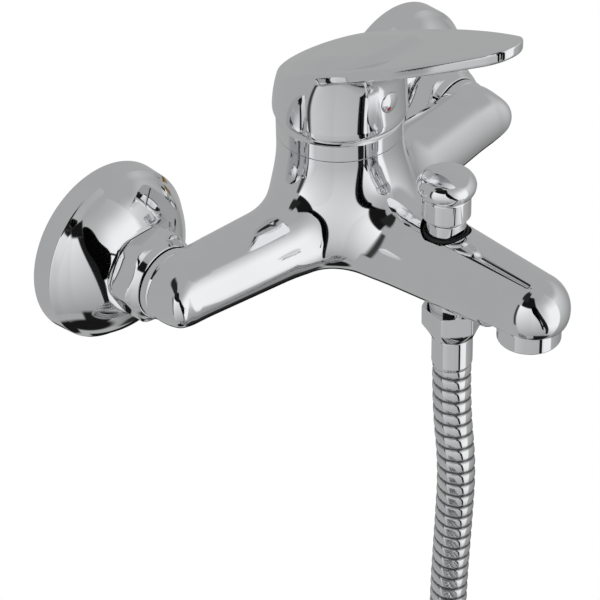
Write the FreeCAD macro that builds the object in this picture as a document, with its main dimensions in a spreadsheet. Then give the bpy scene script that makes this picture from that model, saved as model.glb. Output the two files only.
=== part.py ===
import FreeCAD, Part
import math
import os

import Sketcher

# Wall-mounted single-lever bath and shower mixer, in millimetres.
# Origin: on the finished wall, midway between the two inlets, at the height of the inlet axes.
# X runs to the right along the wall, -Y points out into the room, Z is up.

SIZES = {
    # Fixing points and the main axes
    "inlet_half": 75.0,
    "reach": 44.0,
    # Wall flanges
    "flange_r": 32.05,
    "flange_front_r": 31.6,
    "flange_rim": 7.6,
    "crease_r": 30.6,
    "crease_depth": 8.9,
    "dome_arc": 26.0,
    "flange_neck_r": 16.2,
    "flange_depth": 21.0,
    "flange_sheet": 1.2,
    "flange_collar": 6.0,
    "collar_wall": 1.4,
    # Offset unions in the wall
    "wall_thread_r": 10.48,
    "wall_thread": 16.5,
    "wall_offset": 4.0,
    "relief_r": 9.2,
    "relief": 1.5,
    "tap_thread_r": 13.22,
    "union_face": 26.5,
    "union_bore_r": 7.0,
    "thread_fit": 0.06,
    # Union nuts, washers and inlet tails
    "nut_flats": 30.0,
    "nut_round_r": 16.5,
    "nut_gap": 0.3,
    "nut_hex": 8.6,
    "nut_shoulder": 1.6,
    "nut_shoulder_r": 15.2,
    "washer_thick": 2.0,
    "washer_bore_r": 7.6,
    "tail_flange": 1.5,
    "tail_flange_r": 12.8,
    "tail_neck_r": 10.0,
    "tail_thread": 9.0,
    "tail_bore_r": 7.0,
    "face_gap": 1.5,
    # Arms of the body
    "boss_r": 12.9,
    "boss_land": 2.2,
    "nut_room": 0.4,
    "elbow_r": 12.6,
    "elbow_corner_r": 12.0,
    "elbow_corner_reach": 16.6,
    "elbow_depth": 39.4,
    "arm_mid_r": 15.0,
    "arm_mid_depth": 47.2,
    "arm_bore_r": 6.5,
    "arm_bore_depth": 41.0,
    "arm_bore_end": 5.0,
    # Barrel that takes the cartridge
    "barrel_r": 22.5,
    "barrel_wall": 2.44,
    "barrel_top": 32.5,
    "edge_break": 0.4,
    "hub_r": 18.6,
    "hub_drop": 1.6,
    "seat_z": 8.2,
    "seat_fit": 0.1,
    "nut_recess": 27.5,
    # Spout
    "spout_root_r": 18.5,
    "spout_end_r": 12.6,
    "spout_drop": 1.4,
    "spout_nose_y": 133.6,
    "spout_nose_r": 12.5,
    "underside_start": 119.5,
    "spout_bore_r": 6.5,
    "spout_bore_start": 50.5,
    # Aerator
    "aerator_y": 132.0,
    "neck_z": 7.0,
    "aerator_r": 11.1,
    "aerator_ring": 7.0,
    "aerator_thread_r": 9.2,
    "aerator_thread": 4.5,
    "aerator_bore_r": 8.0,
    "aerator_washer": 1.5,
    "insert_fit": 0.1,
    "insert_recess": 1.2,
    "insert_depth": 6.5,
    "jet_r": 0.7,
    "jet_ring": 2.4,
    # Diverter
    "diverter_y": 93.8,
    "spot_z": 11.3,
    "spot_r": 8.9,
    "chamber_r": 7.2,
    "chamber_floor": 7.0,
    "valve_seat_r": 4.5,
    "valve_seat_depth": 2.2,
    "bonnet_bottom": 4.3,
    "bonnet_r": 7.0,
    "bonnet_land": 17.4,
    "bonnet_neck_r": 6.0,
    "bonnet_top": 23.0,
    "spring_room_r": 5.4,
    "spring_top": 14.0,
    "spindle_r": 2.5,
    "running_fit": 0.05,
    "spindle_collar_r": 4.6,
    "spindle_collar": 1.3,
    "spindle_tip_r": 1.5,
    "seal_r": 6.6,
    "seal_thick": 2.4,
    "rest_gap": 0.3,
    "knob_bottom": 18.2,
    "knob_rim_r": 7.6,
    "skirt_r": 8.6,
    "cap_bottom": 27.3,
    "cap_r": 10.4,
    "cap_widest": 31.2,
    "cap_shoulder_r": 8.2,
    "cap_shoulder": 34.6,
    "knob_top": 36.2,
    "knob_socket": 32.0,
    "knob_ceiling": 25.5,
    "o_ring_wire": 1.5,
    "spring_wire": 0.8,
    "spring_r": 4.1,
    "spring_turns": 6.0,
    # Cartridge, 35 mm size
    "cartridge_r": 17.5,
    "port_x": 8.0,
    "port_back": 3.0,
    "port_front": 9.0,
    "port_r": 3.0,
    "base_thick": 3.8,
    "seal_wire": 1.5,
    "seal_groove_gap": 0.1,
    "seal_height": 1.2,
    "disc_r": 14.5,
    "disc_thick": 3.5,
    "slider_r": 12.0,
    "slider_thick": 3.6,
    "slider_pocket": 2.6,
    "pocket_half_x": 2.6,
    "pocket_half_y": 3.4,
    "housing_bore_r": 15.0,
    "housing_top": 30.0,
    "housing_roof": 2.2,
    "housing_neck_top": 33.0,
    "stem_hole_r": 11.0,
    "carrier_r": 14.8,
    "carrier_gap": 0.2,
    "carrier_top": 27.4,
    "slot_half_x": 3.5,
    "slot_half_y": 7.0,
    "pivot_z": 23.0,
    "pin_r": 1.5,
    "pin_half": 12.0,
    "stem_half": 3.2,
    "shank_gap": 1.6,
    "stem_nib_half": 2.4,
    "stem_nib_bottom": 17.4,
    "stem_square_half": 4.0,
    "stem_square_bottom": 33.5,
    "stem_top": 59.3,
    "cartridge_nut_top": 36.5,
    "nut_clear": 0.3,
    "nut_ring": 5.4,
    # Trim dome
    "dome_step": 0.17,
    "dome_wall": 1.5,
    "dome_hole_r": 16.3,
    "dome_edge_z": 38.7,
    # Lever
    "cavity_gap": 0.6,
    "bell_rim_z": 40.3,
    "bell_rim_over": 0.2,
    "bell_bulge_z": 43.8,
    "bell_bulge_over": 1.4,
    "bell_waist_z": 52.0,
    "bell_waist_over": 0.5,
    "bell_waist_shift": 0.7,
    "bell_neck_z": 60.0,
    "bell_neck_under": 0.2,
    "bell_neck_shift": 2.0,
    "bell_top_z": 76.0,
    "bell_top_under": 1.0,
    "bell_top_shift": 4.0,
    "plate_side_r": 178.0,
    "plate_half": 20.8,
    "plate_widest_y": 52.0,
    "plate_back_y": 42.5,
    "plate_tip_y": 115.0,
    "plate_axis_z": 62.8,
    "plate_tilt": 23.6,
    "plate_thick": 4.2,
    "socket_fit": 0.1,
    "screw_z": 52.6,
    "plug_face": 68.0,
    "screw_r": 2.0,
    "screw_length": 9.0,
    "plug_r": 3.75,
    "plug_depth": 5.5,
    "plug_proud": 0.7,
    "plug_crown": 0.9,
    # Shower outlet and the nut of the hose
    "outlet_y": 97.5,
    "outlet_face": 14.0,
    "outlet_spot_r": 9.0,
    "nipple_root_r": 7.0,
    "nipple_root_top": 9.2,
    "nipple_r": 8.33,
    "nipple_end": 25.3,
    "nipple_bore_r": 5.0,
    "hose_nut_flats": 19.3,
    "hose_nut_turn": -5.0,
    "hose_nut_top": 17.3,
    "hose_nut_bottom": 29.7,
    "hose_nut_chamfer": 5.2,
    "hose_nut_face_r": 7.7,
    "hose_neck_r": 6.1,
    "hose_washer": 1.4,
    "hose_flange_r": 8.1,
    "hose_flange": 1.0,
    "ferrule_r": 7.3,
    "ferrule_top": 30.0,
    "ferrule_end": 43.5,
    "ferrule_taper": 2.1,
    "ferrule_end_r": 6.6,
    # Shower hose, 1.5 m, and its coil
    "hose_r": 7.0,
    "hose_bore_r": 4.6,
    "hose_groove": 0.55,
    "rib_pitch": 5.2,
    "rib_land": 4.1,
    "rib_slope": 0.3,
    "coil_r": 68.0,
    "coil_z": 212.0,
    "coil_pitch": 15.2,
    "coil_turns": 3.0,
    "hose_tail": 50.0,
    # Tie and far end of the hose
    "tie_height": 12.0,
    "tie_gap": 0.4,
    "tie_wall": 1.8,
    "end_ferrule": 20.0,
    "end_flange_r": 10.3,
    "end_flange": 2.0,
    "end_washer": 2.0,
    "end_thread_r": 10.48,
    "end_thread": 9.5,
    "end_thread_gap": 0.5,
    "end_relief_r": 11.2,
    "end_nut_r": 12.6,
    "end_nut_back_r": 9.6,
    "end_nut_cone": 12.0,
    "end_nut_fit": 0.08,
}

# Route of the hose from its ferrule to the coil, as (distance from the wall, distance down).
HOSE_ROUTE = [(97.5, 43.5), (97.5, 62.0), (100.9, 88.0), (99.6, 116.0), (97.5, 152.0), (97.5, 198.0)]


class Size:
    """A length with the sheet formula it comes from, so that plain arithmetic keeps both."""

    def __init__(self, value, text):
        self.value = value
        self.text = text

    def __add__(self, other):
        other = as_size(other)
        return Size(self.value + other.value, "({} + {})".format(self.text, other.text))

    def __sub__(self, other):
        other = as_size(other)
        return Size(self.value - other.value, "({} - {})".format(self.text, other.text))

    def __mul__(self, other):
        other = as_size(other)
        return Size(self.value * other.value, "({} * {})".format(self.text, other.text))

    def __truediv__(self, other):
        other = as_size(other)
        return Size(self.value / other.value, "({} / {})".format(self.text, other.text))

    def __neg__(self):
        return Size(-self.value, "(0 - {})".format(self.text))

    __radd__ = __add__
    __rmul__ = __mul__

    def __rsub__(self, other):
        return as_size(other) - self


def as_size(number):
    if isinstance(number, Size):
        return number
    return Size(float(number), repr(float(number)))


def root(size):
    return Size(math.sqrt(size.value), "sqrt({})".format(size.text))


class Sheet:
    """The driving sizes by name, as s.barrel_r."""

    def __init__(self, document):
        cells = document.addObject("Spreadsheet::Sheet", "Sizes")
        for row, (name, value) in enumerate(SIZES.items(), start=1):
            cells.set("A{}".format(row), name)
            cells.set("B{}".format(row), str(value))
            cells.setAlias("B{}".format(row), name)
            setattr(self, name, Size(value, "Sizes." + name))


FACINGS = {
    "up": FreeCAD.Rotation(),
    "down": FreeCAD.Rotation(FreeCAD.Vector(1, 0, 0), 180),
    "front": FreeCAD.Rotation(FreeCAD.Vector(1, 0, 0), 90),
    "right": FreeCAD.Rotation(FreeCAD.Vector(0, 1, 0), 90),
}

doc = FreeCAD.newDocument("bath_mixer")
s = Sheet(doc)
doc.recompute()
NODES = []


def bind(thing, name, size):
    thing.setExpression(name, as_size(size).text)


def place(thing, at, facing):
    """Puts a shape at a point made of sizes, with its own Z turned to the facing."""
    spot = [as_size(part) for part in at]
    thing.Placement = FreeCAD.Placement(FreeCAD.Vector(*[part.value for part in spot]), FACINGS[facing])
    for axis, part in zip("xyz", spot):
        bind(thing, "Placement.Base." + axis, part)
    return thing


def cylinder(name, radius, height, at, facing="up"):
    shape = doc.addObject("Part::Cylinder", name)
    bind(shape, "Radius", radius)
    bind(shape, "Height", height)
    return place(shape, at, facing)


def block(name, half_x, half_y, low_z, high_z, y):
    """A box centred on X = 0 and on the given Y."""
    shape = doc.addObject("Part::Box", name)
    bind(shape, "Length", as_size(half_x) * 2)
    bind(shape, "Width", as_size(half_y) * 2)
    bind(shape, "Height", as_size(high_z) - low_z)
    return place(shape, (-as_size(half_x), as_size(y) - half_y, low_z), "up")


def ball(name, radius, at):
    shape = doc.addObject("Part::Sphere", name)
    bind(shape, "Radius", radius)
    return place(shape, at, "up")


def hexagon(name, flats, height, at, facing):
    shape = doc.addObject("Part::Prism", name)
    shape.Polygon = 6
    bind(shape, "Circumradius", flats / root(as_size(3)))
    bind(shape, "Height", height)
    return place(shape, at, facing)


def cone(name, start_r, end_r, start, end):
    """A cone between two points in a level plane, given as (x, y, z) sizes."""
    start = [as_size(part) for part in start]
    end = [as_size(part) for part in end]
    step_x = end[0] - start[0]
    step_y = end[1] - start[1]
    length = root(step_x * step_x + step_y * step_y)
    shape = doc.addObject("Part::Cone", name)
    bind(shape, "Radius1", start_r)
    bind(shape, "Radius2", end_r)
    bind(shape, "Height", length)
    axis = (-(step_y / length), step_x / length)
    turn = FreeCAD.Rotation(FreeCAD.Vector(axis[0].value, axis[1].value, 0), 90)
    shape.Placement = FreeCAD.Placement(FreeCAD.Vector(*[part.value for part in start]), turn)
    for name, part in zip("xyz", start):
        bind(shape, "Placement.Base." + name, part)
    for name, part in zip("xy", axis):
        bind(shape, "Placement.Rotation.Axis." + name, part)
    return shape


def fuse(name, shapes):
    """Joins shapes one after another, which holds where one joining of them all does not."""
    joined = shapes[0]
    for index, shape in enumerate(shapes[1:]):
        pair = doc.addObject("Part::Fuse", "{}_{}".format(name, index))
        pair.Base = joined
        pair.Tool = shape
        joined = pair
    return joined


def cut(name, base, tools):
    tool = tools[0] if len(tools) == 1 else fuse(name + "_tools", tools)
    rest = doc.addObject("Part::Cut", name)
    rest.Base = base
    rest.Tool = tool
    return rest


def common(name, shapes):
    kept = doc.addObject("Part::MultiCommon", name)
    kept.Shapes = shapes
    return kept


def loft(name, sections):
    skin = doc.addObject("Part::Loft", name)
    skin.Sections = sections
    skin.Solid = True
    skin.Ruled = True
    return skin


def keep(shape, label):
    """Marks a finished piece: its label names its file."""
    shape.Label = label
    NODES.append(shape)
    return shape


def arc_geometry(start, end, radius):
    """The arc from start to end; a positive radius bulges to the right of the way along it."""
    (x0, y0), (x1, y1) = start, end
    half = math.hypot(x1 - x0, y1 - y0) / 2
    left = (-(y1 - y0) / (2 * half), (x1 - x0) / (2 * half))
    rise = math.sqrt(radius * radius - half * half) * (1 if radius > 0 else -1)
    centre = ((x0 + x1) / 2 + left[0] * rise, (y0 + y1) / 2 + left[1] * rise)
    turn_start = math.atan2(y0 - centre[1], x0 - centre[0])
    turn_end = math.atan2(y1 - centre[1], x1 - centre[0])
    if radius < 0:
        turn_start, turn_end = turn_end, turn_start
    circle = Part.Circle(FreeCAD.Vector(centre[0], centre[1], 0), FreeCAD.Vector(0, 0, 1), abs(radius))
    return Part.ArcOfCircle(circle, turn_start, turn_end)


def fix_coordinate(sketch, kind, axis, edge, point, size):
    """Ties one coordinate of a sketch point to its formula, or to the axis where it is zero."""
    if size.value == 0:
        sketch.addConstraint(Sketcher.Constraint("PointOnObject", edge, point, axis))
        return
    index = sketch.addConstraint(Sketcher.Constraint(kind, edge, point, size.value))
    bind(sketch, "Constraints[{}]".format(index), size)


def turned(name, profile, at=(0, 0, 0), facing="up"):
    """A turned piece. The profile runs anticlockwise as (radius, height) with, where the edge
    to the next point is an arc, the arc's radius: above zero for a convex one."""
    body = doc.addObject("PartDesign::Body", name)
    sketch = body.newObject("Sketcher::SketchObject", name + "_profile")
    plane = [item for item in body.Origin.OriginFeatures if item.Role == "XZ_Plane"][0]
    sketch.AttachmentSupport = [(plane, "")]
    sketch.MapMode = "FlatFace"
    points = [(as_size(entry[0]), as_size(entry[1])) for entry in profile]
    bends = [as_size(entry[2]) if len(entry) > 2 else None for entry in profile]
    ends = []
    for index, bend in enumerate(bends):
        start = [part.value for part in points[index]]
        end = [part.value for part in points[(index + 1) % len(points)]]
        if bend is None:
            sketch.addGeometry(Part.LineSegment(FreeCAD.Vector(*start, 0), FreeCAD.Vector(*end, 0)), False)
            ends.append((1, 2))
        else:
            sketch.addGeometry(arc_geometry(start, end, bend.value), False)
            ends.append((1, 2) if bend.value > 0 else (2, 1))
    for index, (first, last) in enumerate(ends):
        following = (index + 1) % len(points)
        joint = Sketcher.Constraint("Coincident", index, last, following, ends[following][0])
        sketch.addConstraint(joint)
        fix_coordinate(sketch, "DistanceX", -2, index, first, points[index][0])
        fix_coordinate(sketch, "DistanceY", -1, index, first, points[index][1])
        if bends[index] is not None:
            bend = bends[index] if bends[index].value > 0 else -bends[index]
            count = sketch.addConstraint(Sketcher.Constraint("Radius", index, bend.value))
            bind(sketch, "Constraints[{}]".format(count), bend)
    turn = body.newObject("PartDesign::Revolution", name + "_turning")
    turn.Profile = sketch
    turn.ReferenceAxis = (sketch, ["V_Axis"])
    turn.Angle = 360
    body.Tip = turn
    return place(body, at, facing)


def crown(radius, height):
    """The radius of an arc that falls by a height from the axis out to a radius."""
    return (radius * radius + height * height) / (height * 2)


def sides():
    return (("left", -1), ("right", 1))


# Wall flanges: spun brass shells, open towards the wall, screwed onto the unions by a short collar.
def wall_flange(side, sign):
    bore_r = s.tap_thread_r + s.thread_fit
    collar_r = bore_r + s.collar_wall
    profile = [
        (s.flange_r - s.flange_sheet, 0),
        (s.flange_r, 0),
        (s.flange_front_r, s.flange_rim),
        (s.crease_r, s.crease_depth, s.dome_arc),
        (s.flange_neck_r, s.flange_depth),
        (bore_r, s.flange_depth),
        (bore_r, s.flange_depth - s.flange_collar),
        (collar_r, s.flange_depth - s.flange_collar),
        (collar_r, s.flange_depth - s.flange_sheet, -(s.dome_arc - s.flange_sheet)),
        (s.crease_r - s.flange_sheet, s.crease_depth - s.flange_sheet),
    ]
    name = "wall_flange_" + side
    keep(turned(name + "_body", profile, (s.inlet_half * sign, 0, 0), "front"), name)


# Offset unions: a wall thread below the tap thread, so that turning them sets the spacing.
def offset_union(side, sign):
    name = "offset_union_" + side
    x = s.inlet_half * sign
    stub_end = s.relief + s.wall_thread
    stub = cylinder(name + "_stub", s.wall_thread_r, s.wall_thread, (x, stub_end, -s.wall_offset), "front")
    throat = cylinder(name + "_throat", s.relief_r, s.relief * 2, (x, s.relief, -s.wall_offset), "front")
    barrel = cylinder(name + "_barrel", s.tap_thread_r, s.union_face, (x, 0, 0), "front")
    low_bore = cylinder(name + "_low_bore", s.union_bore_r, stub_end + s.wall_offset,
                        (x, stub_end, -s.wall_offset), "front")
    bore = cylinder(name + "_bore", s.union_bore_r, s.union_face, (x, 0, 0), "front")
    keep(cut(name + "_part", fuse(name + "_solid", [barrel, throat, stub]), [low_bore, bore]), name)


def nut_start():
    return s.flange_depth + s.nut_gap


def tail_face():
    """Distance from the wall to the face of the tail that the washer seals on."""
    return s.union_face + s.washer_thick


def shoulder_face():
    return tail_face() + s.tail_flange


def nut_end():
    return shoulder_face() + s.nut_shoulder


def boss_face():
    return nut_end() + s.face_gap


# Union nuts: hexagons with rounded corners and a turned shoulder that pulls on the tail's flange.
def union_nut(side, sign):
    name = "union_nut_" + side
    bore_r = s.tap_thread_r + s.thread_fit
    break_r = s.nut_round_r - s.nut_shoulder / 2
    hex_end = nut_start() + s.nut_hex
    envelope = turned(name + "_turned", [
        (bore_r, nut_start()),
        (break_r, nut_start()),
        (s.nut_round_r, nut_start() + s.nut_shoulder / 2),
        (s.nut_round_r, hex_end - s.nut_shoulder / 2),
        (s.nut_shoulder_r, hex_end),
        (s.nut_shoulder_r, nut_end() - s.edge_break),
        (s.nut_shoulder_r - s.edge_break, nut_end()),
        (s.tail_neck_r + s.thread_fit, nut_end()),
        (s.tail_neck_r + s.thread_fit, shoulder_face()),
        (bore_r, shoulder_face()),
    ], (s.inlet_half * sign, 0, 0), "front")
    flats = hexagon(name + "_flats", s.nut_flats, nut_end(), (s.inlet_half * sign, 0, 0), "front")
    keep(common(name + "_part", [envelope, flats]), name)


def union_washer(side, sign):
    name = "union_washer_" + side
    profile = [
        (s.washer_bore_r, s.union_face),
        (s.tail_flange_r, s.union_face),
        (s.tail_flange_r, tail_face()),
        (s.washer_bore_r, tail_face()),
    ]
    keep(turned(name + "_body", profile, (s.inlet_half * sign, 0, 0), "front"), name)


# Inlet tails: flanged nipples screwed into the bosses of the body; each holds its union nut captive.
def inlet_tail(side, sign):
    name = "inlet_tail_" + side
    tail_end = boss_face() + s.tail_thread
    profile = [
        (s.tail_bore_r, tail_face()),
        (s.tail_flange_r, tail_face()),
        (s.tail_flange_r, shoulder_face()),
        (s.tail_neck_r, shoulder_face()),
        (s.tail_neck_r, tail_end),
        (s.tail_bore_r, tail_end),
    ]
    keep(turned(name + "_body", profile, (s.inlet_half * sign, 0, 0), "front"), name)


# Body: one hollow brass casting with two arms, the barrel for the cartridge and the spout.
def arm_solid(side, sign):
    """An arm: a cone to a rounded elbow whose outer corner stands a little proud, and a boss."""
    elbow_at = (s.inlet_half * sign, -s.elbow_depth, 0)
    arm = cone("arm_" + side, s.arm_mid_r, s.elbow_r, (0, -s.arm_mid_depth, 0), elbow_at)
    elbow = ball("elbow_" + side, s.elbow_r, elbow_at)
    run = s.elbow_corner_reach
    start_x = s.inlet_half - run if sign > 0 else -(s.inlet_half + run)
    corner = common("elbow_corner_" + side, [
        cylinder("elbow_across_" + side, s.elbow_corner_r, run * 2, (start_x, -s.elbow_depth, 0), "right"),
        cylinder("elbow_along_" + side, s.elbow_corner_r, run * 2,
                 (s.inlet_half * sign, run - s.elbow_depth, 0), "front"),
        ball("elbow_limit_" + side, run, elbow_at),
    ])
    boss = turned("boss_" + side, [
        (0, boss_face()),
        (s.boss_r - s.edge_break, boss_face()),
        (s.boss_r, boss_face() + s.edge_break),
        (s.boss_r, boss_face() + s.boss_land),
        (s.elbow_r - s.edge_break, s.elbow_depth),
        (0, s.elbow_depth),
    ], (s.inlet_half * sign, 0, 0), "front")
    return [arm, elbow, corner, boss]


def nut_room(side, sign):
    """The space round a union nut, which the casting keeps clear of."""
    return turned("nut_room_" + side, [
        (0, 0),
        (s.nut_round_r + s.nut_room, 0),
        (s.nut_round_r + s.nut_room, nut_end() + s.nut_room),
        (s.boss_r, nut_end() + s.nut_room),
        (s.boss_r, boss_face()),
        (0, boss_face()),
    ], (s.inlet_half * sign, 0, 0), "front")


def spout_solid():
    """The spout: a cone with a ball nose, hollowed below the nose where the aerator sits."""
    nose_at = (0, -s.spout_nose_y, -s.spout_drop)
    tube = cone("spout_tube", s.spout_root_r, s.spout_end_r, (0, -s.reach, -s.spout_drop), nose_at)
    nose = ball("spout_nose", s.spout_nose_r, nose_at)
    underside = block("spout_underside", s.spout_root_r, s.spout_nose_r * 2, -s.spout_root_r * 2, -s.neck_z,
                      -(s.underside_start + s.spout_nose_r * 2))
    return [cut("spout_part", fuse("spout_solid", [tube, nose]), [underside])]


def nut_thread_r():
    """Radius of the thread in the barrel's mouth, which the dome's ring is bored to as well."""
    return s.barrel_r - s.barrel_wall


def body_bores():
    cartridge_bore = cylinder("cartridge_bore", s.cartridge_r + s.seat_fit, s.barrel_top,
                              (0, -s.reach, s.seat_z))
    nut_bore = cylinder("nut_bore", nut_thread_r(), s.barrel_top, (0, -s.reach, s.nut_recess))
    bores = [cartridge_bore, nut_bore]
    for side, sign in sides():
        inner_x = s.arm_bore_end * sign
        outer_x = s.inlet_half * sign
        left_x = inner_x if sign > 0 else outer_x
        bores.append(nut_room(side, sign))
        bores.append(cylinder("arm_bore_" + side, s.arm_bore_r, s.inlet_half - s.arm_bore_end,
                              (left_x, -s.arm_bore_depth, 0), "right"))
        bores.append(cylinder("tail_bore_" + side, s.tail_neck_r, s.tail_thread + s.face_gap,
                              (s.inlet_half * sign, -(boss_face() - s.face_gap), 0), "front"))
        bores.append(cylinder("port_bore_" + side, s.port_r, s.seat_z, (s.port_x * sign, port_back_y(), 0)))
    bores.append(cylinder("mixed_bore", s.port_r, s.seat_z + s.spout_drop,
                          (0, port_front_y(), -s.spout_drop)))
    bores.append(cylinder("spout_bore", s.spout_bore_r, s.aerator_y - s.spout_bore_start,
                          (0, -s.spout_bore_start, -s.spout_drop), "front"))
    bores.append(cylinder("chamber_bore", s.chamber_r, s.spot_z + s.chamber_floor,
                          (0, -s.diverter_y, -s.chamber_floor)))
    bores.append(cylinder("diverter_spot", s.spot_r, s.spot_z, (0, -s.diverter_y, s.spot_z)))
    bores.append(cylinder("valve_seat", s.valve_seat_r, s.valve_seat_depth + 1,
                          (0, -s.diverter_y, -(s.chamber_floor + s.valve_seat_depth))))
    bores.append(cylinder("outlet_bore", s.nipple_root_r, s.outlet_face - s.nipple_root_top,
                          (0, -s.outlet_y, -s.outlet_face)))
    bores.append(cylinder("outlet_spot", s.outlet_spot_r, s.outlet_face,
                          (0, -s.outlet_y, -s.outlet_face * 2)))
    bores.append(cylinder("aerator_bore", s.aerator_thread_r, s.aerator_thread + s.aerator_washer,
                          (0, -s.aerator_y, -s.neck_z)))
    return bores


def port_back_y():
    return -(s.reach - s.port_back)


def port_front_y():
    return -(s.reach + s.port_front)


def body_casting():
    barrel = turned("barrel", [
        (0, 0),
        (s.barrel_r, 0),
        (s.barrel_r, s.barrel_top - s.edge_break),
        (s.barrel_r - s.edge_break, s.barrel_top),
        (0, s.barrel_top),
    ], (0, -s.reach, 0))
    hub = ball("hub", s.hub_r, (0, -s.reach, -s.hub_drop))
    solids = [barrel, hub] + spout_solid()
    for side, sign in sides():
        solids += arm_solid(side, sign)
    keep(cut("body_part", fuse("body_outside", solids), body_bores()), "body_casting")


# Cartridge: a 35 mm ceramic disc cartridge, clamped in the barrel by its threaded ring.
def port_places():
    return ((-s.port_x, port_back_y()), (s.port_x, port_back_y()), (as_size(0), port_front_y()))


def port_tools(name, radius, low, high):
    tools = []
    for index, (x, y) in enumerate(port_places()):
        tools.append(cylinder("{}_{}".format(name, index), radius, high - low, (x, y, low)))
    return tools


def base_top():
    return s.seat_z + s.base_thick


def disc_top():
    return base_top() + s.disc_thick


def slider_bottom():
    return disc_top() + s.running_fit


def slider_top():
    return slider_bottom() + s.slider_thick


def cartridge_axis():
    return (0, -s.reach, 0)


def cartridge_base():
    plate = cylinder("base_plate", s.cartridge_r, s.base_thick, (0, -s.reach, s.seat_z))
    ports = port_tools("base_port", s.port_r, s.seat_z, base_top())
    groove_r = s.port_r + s.edge_break + s.seal_wire + s.seal_groove_gap
    grooves = port_tools("base_groove", groove_r, s.seat_z, s.seat_z + s.seal_height + s.seal_groove_gap)
    lips = port_tools("base_lip", s.port_r + s.edge_break - s.seal_groove_gap, s.seat_z,
                      s.seat_z + s.seal_height + s.seal_groove_gap)
    ring_rooms = [cut("base_ring_room_{}".format(index), groove, [lip])
                  for index, (groove, lip) in enumerate(zip(grooves, lips))]
    keep(cut("cartridge_base_part", plate, ports + ring_rooms), "cartridge_base")


def port_seals():
    rings = []
    outer_r = s.port_r + s.edge_break + s.seal_wire
    outers = port_tools("seal_outer", outer_r, s.seat_z, s.seat_z + s.seal_height)
    inners = port_tools("seal_inner", s.port_r + s.edge_break, s.seat_z, s.seat_z + s.seal_height)
    for index, (outer, inner) in enumerate(zip(outers, inners)):
        rings.append(cut("port_seal_{}".format(index), outer, [inner]))
    group = doc.addObject("Part::Compound", "port_seals_group")
    group.Links = rings
    keep(group, "port_seals")


def fixed_disc():
    plate = cylinder("fixed_disc_plate", s.disc_r, s.disc_thick, (0, -s.reach, base_top()))
    ports = port_tools("disc_port", s.port_r, base_top(), disc_top())
    keep(cut("fixed_disc_part", plate, ports), "fixed_disc")


def moving_disc():
    plate = cylinder("slider_plate", s.slider_r, s.slider_thick, (0, -s.reach, slider_bottom()))
    pocket = block("slider_pocket", s.pocket_half_x, s.pocket_half_y, slider_top() - s.slider_pocket,
                   slider_top(), -s.reach)
    keep(cut("moving_disc_part", plate, [pocket]), "moving_disc")


def stem_carrier():
    bottom = slider_top() + s.carrier_gap
    drum = cylinder("carrier_drum", s.carrier_r, s.carrier_top - bottom, (0, -s.reach, bottom))
    slot = block("carrier_slot", s.slot_half_x, s.slot_half_y, bottom, s.carrier_top, -s.reach)
    pin_hole = cylinder("carrier_pin_hole", s.pin_r, s.pin_half * 2,
                        (-s.pin_half, -s.reach, s.pivot_z), "right")
    keep(cut("stem_carrier_part", drum, [slot, pin_hole]), "stem_carrier")


def stem_pin():
    pin = cylinder("stem_pin_part", s.pin_r, s.pin_half * 2, (-s.pin_half, -s.reach, s.pivot_z), "right")
    keep(pin, "stem_pin")


def cartridge_stem():
    nib = block("stem_nib", s.stem_nib_half, s.stem_nib_half, s.stem_nib_bottom, s.pivot_z, -s.reach)
    shank = block("stem_shank", s.stem_half, s.stem_half, slider_top() + s.shank_gap, s.stem_square_bottom,
                  -s.reach)
    square = block("stem_square", s.stem_square_half, s.stem_square_half, s.stem_square_bottom, s.stem_top,
                   -s.reach)
    pin_hole = cylinder("stem_pin_hole", s.pin_r + s.running_fit, s.pin_half * 2,
                        (-s.pin_half, -s.reach, s.pivot_z), "right")
    keep(cut("cartridge_stem_part", fuse("stem_solid", [nib, shank, square]), [pin_hole]), "cartridge_stem")


def nut_bore_r():
    """The ring nut keeps its width; the housing's neck fills what it leaves in the barrel."""
    return nut_thread_r() - s.thread_fit - s.nut_ring


def cartridge_housing():
    roof = s.housing_top - s.housing_roof
    neck_r = nut_bore_r() - s.nut_clear
    keep(turned("cartridge_housing_body", [
        (s.housing_bore_r, base_top()),
        (s.cartridge_r, base_top()),
        (s.cartridge_r, s.housing_top),
        (neck_r, s.housing_top),
        (neck_r, s.housing_neck_top),
        (s.stem_hole_r, s.housing_neck_top),
        (s.stem_hole_r, roof),
        (s.housing_bore_r, roof),
    ], cartridge_axis()), "cartridge_housing")


def cartridge_nut():
    outer_r = nut_thread_r() - s.thread_fit
    keep(turned("cartridge_nut_body", [
        (nut_bore_r(), s.housing_top),
        (outer_r, s.housing_top),
        (outer_r, s.cartridge_nut_top),
        (nut_bore_r(), s.cartridge_nut_top),
    ], cartridge_axis()), "cartridge_nut")


# Trim dome: a polished ring whose top is a sphere about the lever's pivot, so the lever's skirt
# sweeps over it without touching.
def sphere_height(radius, reach):
    return s.pivot_z + root(radius * radius - reach * reach)


def dome_edge_r():
    return s.barrel_r - s.dome_step


def dome_r():
    """Radius of the dome's sphere, which has its centre on the lever's pivot."""
    rise = s.dome_edge_z - s.pivot_z
    return root(dome_edge_r() * dome_edge_r() + rise * rise)


def dome_ring():
    inner_r = nut_thread_r()
    inside_r = dome_r() - s.dome_wall
    keep(turned("dome_ring_body", [
        (inner_r, s.barrel_top),
        (s.barrel_r - s.edge_break, s.barrel_top),
        (s.barrel_r, s.barrel_top + s.edge_break),
        (s.barrel_r, s.dome_edge_z - s.edge_break),
        (dome_edge_r(), s.dome_edge_z, dome_r()),
        (s.dome_hole_r, sphere_height(dome_r(), s.dome_hole_r)),
        (s.dome_hole_r, sphere_height(inside_r, s.dome_hole_r), -inside_r),
        (inner_r, sphere_height(inside_r, inner_r)),
    ], cartridge_axis()), "dome_ring")


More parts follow.
